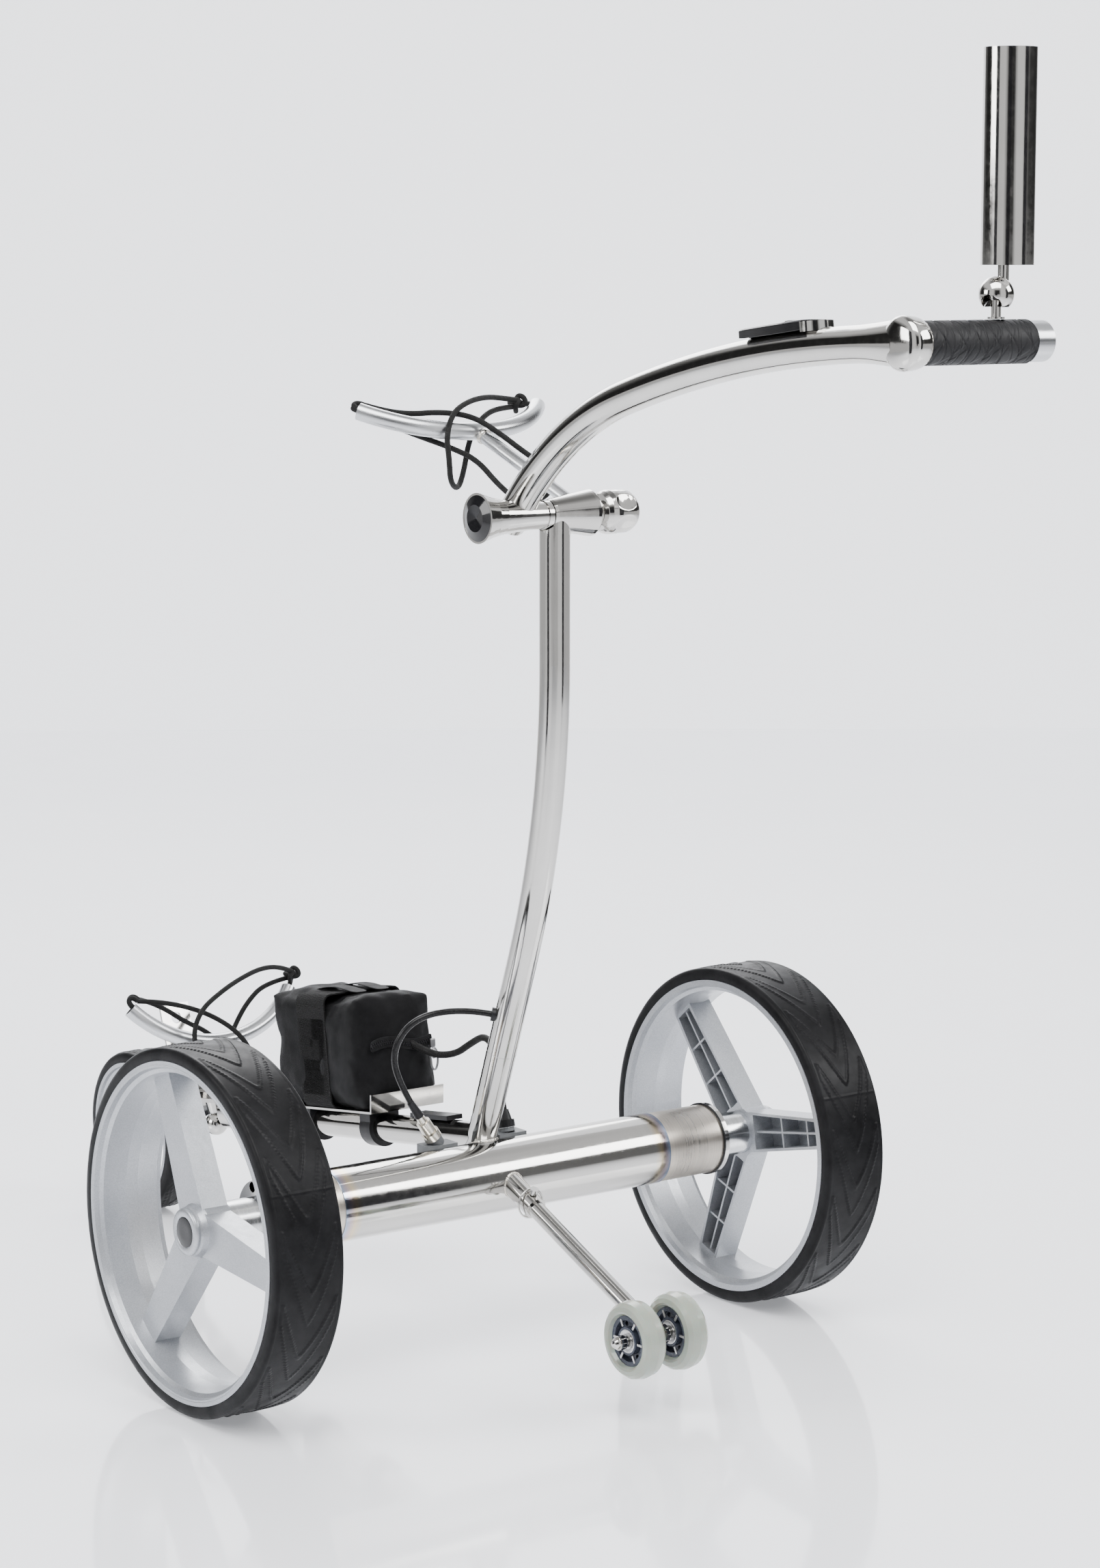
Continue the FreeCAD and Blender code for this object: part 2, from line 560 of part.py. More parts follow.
def make_mast():
    """Curved mast, its head, the clamp bolt through the head, and the cable grommet."""
    legs = [("dims.mast_straight",), ("dims.mast_bend", size("mast_lean")), (140,)]
    heading = 90 - size("mast_lean")
    start = (MAST_JOINT.y, MAST_JOINT.z)
    outer, _ = bent_bar("dims.tube_radius", 0, start, heading, legs)
    inner, _ = bent_bar("dims.tube_radius - dims.tube_wall", 0, start, heading, legs)
    head_tool = cylinder(21, 200, (-100, PIVOT.y, PIVOT.z), EAST)
    above = block(200, 200, 200, (-100, PIVOT.y - 100, PIVOT.z))
    node("mast_tube", cut(cut(outer, inner), fuse([head_tool, above])))
    disc = cylinder(6.5, GROMMET_HIGH + 3, GROMMET - GROMMET_OUT * 3, GROMMET_OUT)
    mast_tool, _ = bent_bar("dims.tube_radius", 0, start, heading, legs)
    node("cable_grommet", cut(disc, mast_tool))
    outline = [(8, PIVOT_BORE), (8, 13.4), (5, 14.2), (-34, 20.6), (-37, 21), (-39, 19.5),
               (-41, 14.5), (-45, 13.4), (-45, PIVOT_BORE)]
    head = turned("head_cone", outline, PIVOT)
    neck = bound(doc.addObject("Part::MultiCommon", "neck"))
    neck.Shapes = [cylinder("dims.tube_radius", 24, (0, PIVOT.y, PIVOT.z - 24), UP),
                   cylinder(21, 200, (-100, PIVOT.y, PIVOT.z), EAST)]
    bore = cylinder(PIVOT_BORE, 200, (-100, PIVOT.y, PIVOT.z), EAST)
    bell_room = cylinder(14.3, 20, (8.6, PIVOT.y, PIVOT.z), EAST)
    node("mast_head", fuse([head, cut(neck, fuse([bore, bell_room]))]))
    node("pivot_bolt", cylinder("dims.pivot_bolt", 126.6, (-47.8, PIVOT.y, PIVOT.z), EAST))


def make_upper_cradle():
    """Upper bag cradle on its stem from the mast head."""
    ring, middle, ring_tool = crescent("dims.upper_bend", "dims.upper_back",
                                       "dims.upper_height", "upper_tilt")
    foot = Vector(-18, PIVOT.y, PIVOT.z + 10)
    along = foot - middle
    stem = cylinder("dims.stem_radius", along.Length, middle, along.normalize())
    head_tool = cone(14.1, 21.3, 44, (7, PIVOT.y, PIVOT.z), EAST * -1)
    node("upper_cradle", fuse([ring, cut(cut(stem, ring_tool), head_tool)]))


def make_handle():
    """Handle barrel, curved bar with its cross piece, grip, control box, and umbrella post."""
    bell = [(9, PIVOT_BORE), (9, 13.2), (14, 13.2), (14, 12.2), (30, 12.8), (45, 14), (60, 15.8),
            (70, 18), (78, 20.6), (84, 22.4), (84, 20.4), (79.5, 18), (79.5, PIVOT_BORE)]
    barrel = turned("handle_bell", bell, PIVOT)
    node("handle_barrel", barrel)
    cap_outline = [(79.6, 0.01), (79.6, 17.9), (84, 20.2), (87, 12), (85.5, 0.01)]
    node("barrel_cap", turned("barrel_cap", cap_outline, PIVOT))
    start = (size("bar_start_back"), size("bar_start_height"))
    first_turn = size("bar_mid_heading") - size("bar_heading")
    second_turn = size("bar_end_heading") - size("bar_mid_heading")
    legs = [("dims.bar_straight",), ("dims.bar_bend_one", first_turn),
            ("dims.bar_bend_two", second_turn), ("dims.bar_tail",)]
    plane, heading = size("bar_plane"), size("bar_heading")
    outer, end = bent_bar("dims.bar_radius", plane, start, heading, legs)
    inner, _ = bent_bar("dims.bar_radius - dims.bar_wall", plane, start, heading, legs)
    end_angle = math.radians(size("bar_end_heading"))
    bar_end = Vector(0, math.cos(end_angle), math.sin(end_angle))
    flare = cone(13, 18.5, 40, end - bar_end * 46, bar_end)
    start_angle = math.radians(heading)
    cap = cylinder("dims.bar_radius - 0.4", 2.5, Vector(plane, *start),
                   Vector(0, math.cos(start_angle), math.sin(start_angle)))
    barrel_tool = fuse([turned("barrel_tool", [(9, 0.01)] + bell[1:10] + [(84, 0.01)], PIVOT),
                        cylinder(5, 74, (9.5, PIVOT.y, PIVOT.z), EAST)])
    hollow = cut(outer, inner)
    grip_room = cylinder("dims.grip_radius + 0.1", 120.2, (-89.6, GRIP_AXIS.y, GRIP_AXIS.z), EAST)
    shell = cut(fuse([hollow, flare, cap]), fuse([barrel_tool, grip_room]))
    rim = "dims.cross_radius"
    core, socket = "dims.grip_inner - 0.1", KNOB_STUB + BORE_GAP
    cross = [("dims.grip_end", socket), ("dims.grip_end", core), ("dims.grip_start", core),
             ("dims.grip_start", f"{rim} - 2.5"), ("dims.grip_start + 2.5", f"{rim} - 1"),
             (42, rim), (44.5, rim), (47.5, f"{rim} - 2.5"), (50, 12), (51, 6),
             ("dims.cross_outer + 0.3", 0.01), ("dims.grip_end + 13", 0.01),
             ("dims.grip_end + 13", socket)]
    cross_room = cylinder(rim, 30, ("dims.grip_start", GRIP_AXIS.y, GRIP_AXIS.z), EAST)
    group("handlebar", [cut(shell, cross_room), turned("cross_piece", cross, GRIP_AXIS)])
    node("grip", tube("dims.grip_radius", "dims.grip_inner", "dims.grip_start - dims.grip_end",
                      ("dims.grip_end", GRIP_AXIS.y, GRIP_AXIS.z), EAST))
    slope = Rotation(EAST, 6.9)
    box_mid = Vector(plane, 454, 939.6)

    def box_spot(side, along, above):
        return box_mid + slope.multVec(Vector(side, along, above))

    seat = block(32, 78, 10, box_spot(-16, -39, 12), slope)
    bar_tool, _ = bent_bar(f"dims.bar_radius + {SKIN}", plane, start, heading, legs)
    button_well = cylinder(5.2, 12, box_spot(0, 10, 17), slope.multVec(UP))
    node("control_box", cut(cut(seat, bar_tool), button_well))
    node("power_button", cylinder(4.9, 5.2, box_spot(0, 10, 18.6), slope.multVec(UP)))
    rest = cut(cylinder(15.5, 8, box_spot(0, 39.3, 12), slope.multVec(UP)),
               block(40, 39.2, 40, box_spot(-20, 0, 0), slope))
    clip_tool, _ = bent_bar(f"dims.bar_radius + {SKIN}", plane, start, heading, legs)
    node("box_end", cut(rest, clip_tool))


def make_knobs():
    """Clamp knob on the pivot bolt, and the speed knob in the grip's end."""
    outline = [(-46, PIVOT_BORE), (-46, 13), (-50, 18), (-57, 20.6), (-72, 20.6), (-81, 18),
               (-87, 12), (-89, 6), (-89.5, 0.01), (-48.2, 0.01), (-48.2, PIVOT_BORE)]
    body = turned("knob_form", outline, PIVOT)
    scallops = []
    for step in range(6):
        angle = math.radians(60 * step + 15)
        across = Vector(0, math.cos(angle), math.sin(angle))
        scallops.append(sphere(14, PIVOT + across * 31.5 + EAST * -68))
    node("clamp_knob", cut(body, fuse(scallops)))
    face = "dims.grip_end - 0.4"
    rim = [("dims.knob_end", 0.01), ("dims.knob_end", 14.6), ("dims.knob_end + 1.4", 16.4),
           (face, 16.4), (face, KNOB_STUB), ("dims.grip_end + 11", KNOB_STUB),
           ("dims.grip_end + 11", 0.01)]
    node("speed_knob", turned("speed_knob", rim, GRIP_AXIS))


def make_umbrella_holder():
    """Post on the grip, hollow ball joint on it, and the open umbrella tube."""
    ball_at = Vector(size("ball_side"), GRIP_AXIS.y, size("ball_height"))
    grip_top = GRIP_AXIS.z + size("grip_radius")
    post = cylinder(4, ball_at.z - grip_top, (ball_at.x, ball_at.y, grip_top + 0.3), UP)
    foot = cylinder(7, 1.6, (ball_at.x, ball_at.y, grip_top + 0.3), UP)
    pip = sphere(6, ball_at)
    node("umbrella_post", fuse([post, foot, pip]))
    mouth_way = Vector(0.72, 0.3, -0.62).normalize()
    cavity = cylinder(8, 18, ball_at - EAST * 9, EAST)
    shell = cut(sphere("dims.ball_radius", ball_at), cavity)
    mouth = cylinder(8.5, 30, ball_at, mouth_way)
    post_slot = cone(4.4, 16, 20, ball_at, UP * -1)
    stem_x = size("holder_side") + 4
    stem = cylinder(4.5, size("holder_low") - ball_at.z - 8,
                    (stem_x, ball_at.y, ball_at.z + 8), UP)
    ball_tool = sphere("dims.ball_radius", ball_at)
    group("umbrella_ball", [cut(shell, fuse([mouth, post_slot])), cut(stem, ball_tool)])
    base = (size("holder_side"), GRIP_AXIS.y, size("holder_low"))
    wall = tube("dims.holder_radius", "dims.holder_bore", "dims.holder_high - dims.holder_low",
                base, UP)
    floor = cylinder("dims.holder_radius", 2, base, UP)
    node("umbrella_tube", fuse([wall, floor]))


def make_anti_tip():
    """Socket on the axle tube, arm held by a lynch pin, and the two wheels' bolt."""
    reach = (SKATE_AXIS.y - 22) / ARM_OUT.y
    arm_line = SKATE_AXIS - ARM_OUT * reach
    socket_end = arm_line + ARM_OUT * size("socket_length")
    socket = tube("dims.socket_radius", f"dims.arm_radius + {SKIN}", "dims.socket_length",
                  arm_line, ARM_OUT)
    pin_at = socket_end - ARM_OUT * 9
    pin_hole = cylinder(2.6, 40, pin_at - ARM_ACROSS * 20, ARM_ACROSS)
    node("anti_tip_socket", cut(cut(socket, axle_solid()), pin_hole))
    arm_start = arm_line + ARM_OUT * 18
    arm = tube("dims.arm_radius", "dims.arm_radius - 1.5", reach - 18, arm_start, ARM_OUT)
    arm_hole = cylinder(2.6, 40, pin_at - ARM_ACROSS * 20, ARM_ACROSS)
    boss = cylinder(9, 18, SKATE_AXIS - EAST * 9, EAST)
    bolt_hole = cylinder("dims.skate_bolt", 60, SKATE_AXIS - EAST * 30, EAST)
    node("anti_tip_arm", cut(fuse([arm, boss]), fuse([arm_hole, bolt_hole])))
    half_bolt = [(9.1, "dims.skate_bolt"), (9.1, 6), (11.3, 6), (11.3, "dims.skate_bolt"),
                 (36, "dims.skate_bolt"), (36, 6.5), (42.5, 6.5), (42.5, 5.4), (45, 5), (47.4, 3.2),
                 (48.4, 0.01)]
    outline = [(f"-{along}", radius) for along, radius in half_bolt[::-1]] + half_bolt
    node("skate_axle", turned("skate_axle", outline, SKATE_AXIS))
    pin = cylinder(2.5, 31, pin_at - ARM_ACROSS * 15, ARM_ACROSS)
    head = cylinder(4, 5, pin_at + ARM_ACROSS * 11, ARM_ACROSS)
    ring = bound(doc.addObject("Part::Torus", "ring"), Radius1=13.4, Radius2=0.9)
    put(ring, pin_at, Rotation(UP, NORTH))
    node("lynch_pin", fuse([pin, head, ring]))
    for side, name in ((1, "left"), (-1, "right")):
        centre = SKATE_AXIS + EAST * side * size("skate_offset")
        half, core = "dims.skate_width / 2", "dims.skate_core"
        tread = [(-7, core), (-11, "dims.skate_core + 2"), (f"-{half}", "dims.skate_core + 4"),
                 (-11, "dims.skate_radius - 4.5"), (-7.5, "dims.skate_radius - 1.4"),
                 (0, "dims.skate_radius"), (7.5, "dims.skate_radius - 1.4"),
                 (11, "dims.skate_radius - 4.5"), (half, "dims.skate_core + 4"),
                 (11, "dims.skate_core + 2"), (7, core)]
        node(f"skate_tyre_{name}", turned(f"skate_tyre_{name}", tread, centre))
        disc = turned("skate_disc", [(-3, 10), (-3, 18), (-8, 18.5), (-8, "dims.skate_core - 0.1"),
                                     (8, "dims.skate_core - 0.1"), (8, 18.5), (3, 18), (3, 10)],
                      centre)
        sleeve = tube(12.5, 11, 18, centre - EAST * 9, EAST)
        windows = []
        for step in range(6):
            angle = math.radians(60 * step)
            way = Vector(0, math.cos(angle), math.sin(angle))
            windows.append(cylinder(2.2, 20, centre + way * 15.4 - EAST * 10, EAST))
        bearings = [tube(10.95, f"dims.skate_bolt + {BORE_GAP}", 7, centre + EAST * at, EAST)
                    for at in (-9, 2)]
        group(f"skate_core_{name}", [fuse([cut(disc, fuse(windows)), sleeve])] + bearings)


def make_front_wheel():
    """Front wheel: tyre, rim with three box spokes, bearings and the axle through the fork."""
    centre = Vector(0, size("front_back"), size("front_radius"))
    half = "dims.front_width / 2"
    lip, seat = "(dims.front_lip + 0.2)", "(dims.front_seat + 0.2)"
    tyre = [(f"-{half} + 0.4", lip), (f"-{half} + 0.4", "dims.front_radius - 5"),
            (f"-{half} + 1.6", "dims.front_radius - 1.4"), (f"-{half} + 4", "dims.front_radius"),
            (f"{half} - 4", "dims.front_radius"), (f"{half} - 1.6", "dims.front_radius - 1.4"),
            (f"{half} - 0.4", "dims.front_radius - 5"), (f"{half} - 0.4", lip),
            (f"{half} - 2.8", lip), (f"{half} - 2.8", seat), (f"-{half} + 2.8", seat),
            (f"-{half} + 2.8", lip)]
    node("tyre_front", turned("tyre_front", tyre, centre))
    barrel = [(f"-{half}", "dims.front_lip"), (f"-{half} + 2.4", "dims.front_lip"),
              (f"-{half} + 2.4", "dims.front_seat"), (f"{half} - 2.4", "dims.front_seat"),
              (f"{half} - 2.4", "dims.front_lip"), (half, "dims.front_lip"),
              (half, "dims.front_lip - 4"), (f"{half} - 3", "dims.front_lip - 5"),
              (f"{half} - 5", "dims.front_lip - 8"), (4, "dims.front_lip - 10"),
              (-4, "dims.front_lip - 10"), (f"-{half} + 5", "dims.front_lip - 8"),
              (f"-{half} + 3", "dims.front_lip - 5"), (f"-{half}", "dims.front_lip - 4")]
    hub_half = "dims.front_hub_half"
    hub = [(f"-{hub_half}", 11.02), (f"-{hub_half}", "dims.front_hub"),
           (hub_half, "dims.front_hub"), (hub_half, 11.02)]
    spokes = [spoke(centre, EAST, 20 + 120 * step, size("front_lip") - 8, 20, 15, 16, -6,
                    size("front_hub"), 2.5) for step in range(3)]
    bore = cylinder(11.02, 50, centre - EAST * 25, EAST)
    rim = cut(fuse([turned("front_barrel", barrel, centre),
                    turned("front_hub", hub, centre)] + spokes), bore)
    bearings = [tube(11, f"dims.front_bolt + {BORE_GAP}", 7, centre + EAST * at, EAST)
                for at in (-19, 12)]
    group("rim_front", [rim] + bearings)
    bolt = cylinder("dims.front_bolt", 84, centre - EAST * 42, EAST)
    ends = []
    for side in (1, -1):
        ends.append(cylinder(8.5, 5.5, centre + EAST * side * 33.1, EAST * side))
        ends.append(cylinder(7.5, 9.2, centre + EAST * side * 19.3, EAST * side))
    node("front_axle", fuse([bolt] + ends))


def fold(mouth, outward, inward, across, reach):
    """Bight of elastic cord out of a tube's mouth and back along its inner side."""
    ring = bound(doc.addObject("Part::Torus", "bight"), Radius1=reach / 2,
                 Radius2="dims.elastic_radius", Angle3=180)
    return put(ring, mouth + inward * (reach / 2) + across, Rotation(inward * -1, outward, UP, "XYZ"))


def cradle_frame(side, back, height, tilt, bend):
    """Mouth of a cradle tube, its outward and inward directions, and the one across them."""
    slant, half = math.radians(size(tilt)), math.radians(size("cradle_half"))
    towards = Vector(0, math.cos(slant), -math.sin(slant))
    centre = Vector(0, size(back), size(height))
    radial = towards * math.cos(half) + EAST * side * math.sin(half)
    outward = EAST * side * math.cos(half) - towards * math.sin(half)
    across = outward.cross(radial * -1)
    return centre + radial * size(bend), outward, radial * -1, across


def make_elastics():
    """Elastic loops: a knotted pair of strands from one end of each cradle, a bight from the other."""
    spread = 2.8
    upper = ("upper_back", "upper_height", "upper_tilt", "upper_bend")
    lower = ("lower_back", "lower_height", "lower_tilt", "lower_bend")
    knot_at = Vector(-76, -64, 879)
    route = [(-76, -63, 882), (-50, -53, 885), (-24, -42, 887), (4, -30, 884), (28, -20, 875),
             (41, -12, 855), (40, -9, 833), (36, -13, 812), (18, -27, 804), (5, -36, 820),
             (-2, -38, 848), (-17, -41, 867), (-44, -54, 876), (-76, -66, 876)]
    mouth, _, _, _ = cradle_frame(-1, *upper)
    stub = cylinder("dims.elastic_radius", (knot_at - mouth).Length, mouth,
                    (knot_at - mouth).normalize())
    loop = cord("upper_cord_right_run", route, size("elastic_radius"))
    group("upper_cord_right", [cut(loop, sphere(7, knot_at)), sphere(7, knot_at),
                               cut(stub, sphere(7, knot_at))])
    mouth, outward, inward, across = cradle_frame(1, *upper)
    reach = 11.5
    ends = [mouth + inward * reach + across * spread * sign for sign in (-1, 1)]
    route = [ends[0], (77, -59, 876), (56, -46, 873), (32, -34, 875), (8, -16, 871),
             (-10, 1, 855), (-22, 16, 841), (-33, 34, 828), (-35, 50, 812), (-19, 54, 798),
             (-3, 38, 796), (2, 14, 810), (10, -8, 832), (28, -24, 843), (50, -42, 853),
             (70, -58, 863), ends[1]]
    loop = cord("upper_cord_left_run", route, size("elastic_radius"))
    folds = [fold(mouth, outward, inward, across * spread * sign, reach) for sign in (-1, 1)]
    node("upper_cord_left", fuse([loop] + folds))
    knot_at = Vector(-102, -508, 264)
    route = [(-102, -506, 267), (-86, -500, 275), (-57, -494, 279), (-22, -486, 271),
             (8, -476, 261), (32, -468, 250), (45, -464, 230), (40, -467, 206), (20, -482, 190),
             (-4, -494, 188), (-18, -498, 204), (-29, -502, 222), (-46, -506, 242),
             (-70, -510, 258), (-102, -510, 261)]
    mouth, _, _, _ = cradle_frame(-1, *lower)
    stub = cylinder("dims.elastic_radius", (knot_at - mouth).Length, mouth,
                    (knot_at - mouth).normalize())
    loop = cord("lower_cord_right_run", route, size("elastic_radius"))
    group("lower_cord_right", [cut(loop, sphere(7, knot_at)), sphere(7, knot_at),
                               cut(stub, sphere(7, knot_at))])
    mouth, outward, inward, across = cradle_frame(1, *lower)
    wide = 17
    ends = [mouth + inward * reach - across * spread, mouth + inward * wide + across * spread]
    route = [ends[0], (64, -501, 256), (36, -489, 249), (12, -478, 238), (-8, -466, 222),
             (-21, -460, 202), (-26, -472, 186), (-26, -492, 184), (-16, -507, 198),
             (2, -511, 216), (26, -511, 228), (50, -513, 245), (70, -515, 255), ends[1]]
    loop = cord("lower_cord_left_run", route, size("elastic_radius"))
    folds = [fold(mouth, outward, inward, across * -spread, reach),
             fold(mouth, outward, inward, across * spread, wide)]
    node("lower_cord_left", fuse([loop] + folds))


def make_cables():
    """Handle cable from its plug into the mast, and battery cable from its plug to the bag."""
    start = PLUG_BASE + PLUG_AXIS * 36
    end = GROMMET + GROMMET_OUT * GROMMET_HIGH
    route = [start, start + PLUG_AXIS * 32, (101, -19, 292), (84, -8, 325),
             end + GROMMET_OUT * 28, end]
    node("control_cable", cord("control_cable_run", route, size("lead_radius")))
    top = BATTERY_PLUG_BASE + BATTERY_PLUG_AXIS * 21
    route = [(-9, -157, 267), (-22, -137, 254), (-36, -113, 256), (-38, -88, 272),
             (-36, -63, 284), (-33, -42, 275), top + BATTERY_PLUG_AXIS * 31, top]
    node("battery_cable", cord("battery_cable_run", route, size("battery_lead_radius")))


make_axle()
make_rear_wheels()
make_stubs()
make_front_frame()
make_lower_cradle()
make_battery()
make_sockets()
make_mast()
make_upper_cradle()
make_handle()
make_knobs()
make_umbrella_holder()
make_anti_tip()
make_front_wheel()
make_elastics()
make_cables()
doc.recompute()

for obj in doc.Objects:
    if "Invalid" in obj.State or "Error" in obj.State:
        raise RuntimeError(f"{obj.Label} did not build: {obj.State}")

os.makedirs("parts", exist_ok=True)
for name, obj in NODES.items():
    if obj.Shape.isNull() or not obj.Shape.isValid():
        raise RuntimeError(f"{name} has a bad shape")
    obj.Shape.exportStep(f"parts/{name}.step")
print(f"{len(NODES)} parts written")
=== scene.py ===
import math
import random

import bmesh
import bpy
from mathutils import Matrix, Quaternion, Vector, noise


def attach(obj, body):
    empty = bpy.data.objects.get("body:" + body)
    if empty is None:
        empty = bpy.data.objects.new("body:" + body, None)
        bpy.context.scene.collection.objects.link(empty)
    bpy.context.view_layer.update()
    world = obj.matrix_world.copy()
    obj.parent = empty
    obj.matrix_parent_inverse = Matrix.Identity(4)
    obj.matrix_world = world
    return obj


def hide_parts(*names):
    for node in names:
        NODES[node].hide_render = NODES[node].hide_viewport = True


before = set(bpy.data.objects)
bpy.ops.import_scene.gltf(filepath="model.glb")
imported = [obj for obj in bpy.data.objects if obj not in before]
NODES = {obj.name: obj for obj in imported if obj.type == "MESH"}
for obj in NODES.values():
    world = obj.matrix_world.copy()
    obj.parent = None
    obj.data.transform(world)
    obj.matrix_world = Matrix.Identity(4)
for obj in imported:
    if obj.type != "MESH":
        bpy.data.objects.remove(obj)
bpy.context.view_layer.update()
SCENE = bpy.context.scene
random.seed(7)

# Places of the model, in metres, in the frame of the CAD
AXLE = Vector((0, 0, 0.165))
LEAN = math.radians(20)
MAST_UP = Vector((0, math.sin(LEAN), math.cos(LEAN)))
MAST_FOOT = Vector((0, -0.030, 0.165))
PIVOT = Vector((0, 0.097, 0.788))
GRIP = Vector((0, 0.6035, 0.9492))
SLOPE = math.radians(7.8)
AHEAD = Vector((0, -math.cos(SLOPE), -math.sin(SLOPE)))
ABOVE = Vector((0, -math.sin(SLOPE), math.cos(SLOPE)))
EAST = Vector((1, 0, 0))


def spot(side, ahead, above):
    """A point of the front frame, from millimetres sideways, ahead and above."""
    origin = Vector((side / 1000, -0.151, 0.181))
    return origin + AHEAD * (ahead / 1000) + ABOVE * (above / 1000)


# ---------------------------------------------------------------- camera, floor and light
def make_studio():
    """Camera at the picture's angle, pale glossy floor, pale wall, soft panels and dark cards."""
    data = bpy.data.cameras.new("camera")
    data.lens = 84.44
    data.sensor_width = 36
    data.clip_end = 30
    camera = bpy.data.objects.new("camera", data)
    azimuth, elevation = math.radians(143.617), math.radians(8.2395)
    back = Vector((math.sin(azimuth) * math.cos(elevation),
                   -math.cos(azimuth) * math.cos(elevation), math.sin(elevation)))
    camera.matrix_world = (Matrix.Translation((1.94006, 2.72296, 1.01903))
                           @ back.to_track_quat("Z", "Y").to_matrix().to_4x4())
    SCENE.collection.objects.link(camera)
    SCENE.camera = camera
    floor = panel("floor", 9, 9, (0, 0, -0.0006), (0, 0, 1), floor_paint())
    wall = panel("wall", 7, 9, (-2.6, -3.7, 2.5), (0.58, 0.81, 0), wall_glow())
    cards = [((2.6, 0.3, 0.9), 0.7, 2.4), ((-1.4, 2.9, 0.9), 0.8, 2.4), ((3.1, 3.9, 1.2), 1.2, 1.6)]
    for index, (place, wide, high) in enumerate(cards):
        toward = (Vector((0, 0, 0.5)) - Vector(place)).normalized()
        panel(f"dark_card_{index}", wide, high, place, toward, plain(f"card_{index}", (0.01, 0.01, 0.012), 1))
    lamps = [("key", (0.9, 1.3, 3.2), 2.6, 150), ("side", (3.4, -1.0, 1.8), 1.9, 80),
             ("rear", (-2.6, 2.2, 2.3), 1.9, 90), ("front", (-1.2, -2.4, 2.4), 2.2, 70)]
    for name, place, wide, power in lamps:
        light = bpy.data.lights.new(name, "AREA")
        light.shape = "RECTANGLE"
        light.size = wide
        light.size_y = wide * 0.7
        light.energy = power
        lamp = bpy.data.objects.new(name, light)
        lamp.location = place
        aim = Vector((0, 0, 0.45)) - Vector(place)
        lamp.rotation_euler = aim.to_track_quat("-Z", "Y").to_euler()
        SCENE.collection.objects.link(lamp)
    SCENE.world = surroundings(math.atan2(2.72296, 1.94006))


def surroundings(camera_way):
    """World of soft bright banks and dark gaps round the object, for the metal to mirror."""
    world = bpy.data.worlds.new("studio")
    world.use_nodes = True
    tree = world.node_tree

    def add(kind, *inputs, **values):
        made = tree.nodes.new(kind)
        for key, value in values.items():
            setattr(made, key, value)
        for socket, value in zip(made.inputs, inputs):
            if isinstance(value, (int, float)):
                socket.default_value = value
            elif value is not None:
                tree.links.new(value, socket)
        return made.outputs[0]

    def ramp(value, stops):
        made = tree.nodes.new("ShaderNodeValToRGB")
        while len(made.color_ramp.elements) < len(stops):
            made.color_ramp.elements.new(0.5)
        for element, (at, grey) in zip(made.color_ramp.elements, stops):
            element.position = at
            element.color = (grey, grey, grey * 1.01, 1)
        tree.links.new(value, made.inputs[0])
        return made.outputs[0]

    place = tree.nodes.new("ShaderNodeTexCoord")
    split = tree.nodes.new("ShaderNodeSeparateXYZ")
    tree.links.new(place.outputs["Generated"], split.inputs[0])
    turn = add("ShaderNodeMath", split.outputs["Y"], split.outputs["X"], operation="ARCTAN2")
    turn = add("ShaderNodeMath", turn, math.pi - camera_way, operation="ADD")
    turn = add("ShaderNodeMath", turn, 2 * math.pi, 0.0, operation="WRAP")
    turn = add("ShaderNodeMath", turn, 2 * math.pi, operation="DIVIDE")
    round_about = ramp(turn, [(0.0, 0.5), (0.1, 0.35), (0.17, 0.03), (0.26, 0.03), (0.3, 1.0), (0.42, 1.1), (0.46, 0.06),
                              (0.53, 0.04), (0.57, 1.2), (0.64, 1.2), (0.68, 0.3), (0.74, 0.06), (0.86, 0.04),
                              (0.93, 0.35), (1.0, 0.5)])
    rise = add("ShaderNodeMath", split.outputs["Z"], 0.5, 0.5, operation="MULTIPLY_ADD")
    overhead = ramp(rise, [(0.0, 0.8), (0.49, 0.8), (0.5, 0.0), (0.7, 0.0), (0.78, 1.0), (0.9, 1.0), (0.96, 0.3)])
    mixed = tree.nodes.new("ShaderNodeMix")
    mixed.data_type = "RGBA"
    mixed.blend_type = "LIGHTEN"
    mixed.inputs["Factor"].default_value = 1
    tree.links.new(round_about, mixed.inputs["A"])
    tree.links.new(overhead, mixed.inputs["B"])
    sky = tree.nodes["Background"]
    tree.links.new(mixed.outputs["Result"], sky.inputs["Color"])
    sky.inputs["Strength"].default_value = 1.0
    return world


def panel(name, wide, high, place, facing, material):
    """Flat rectangle of the set, facing a direction."""
    mesh = bpy.data.meshes.new(name)
    w, h = wide / 2, high / 2
    mesh.from_pydata([(-w, -h, 0), (w, -h, 0), (w, h, 0), (-w, h, 0)], [], [(0, 1, 2, 3)])
    mesh.materials.append(material)
    obj = bpy.data.objects.new(name, mesh)
    obj.rotation_euler = Vector(facing).to_track_quat("Z", "Y").to_euler()
    obj.location = place
    SCENE.collection.objects.link(obj)
    return obj


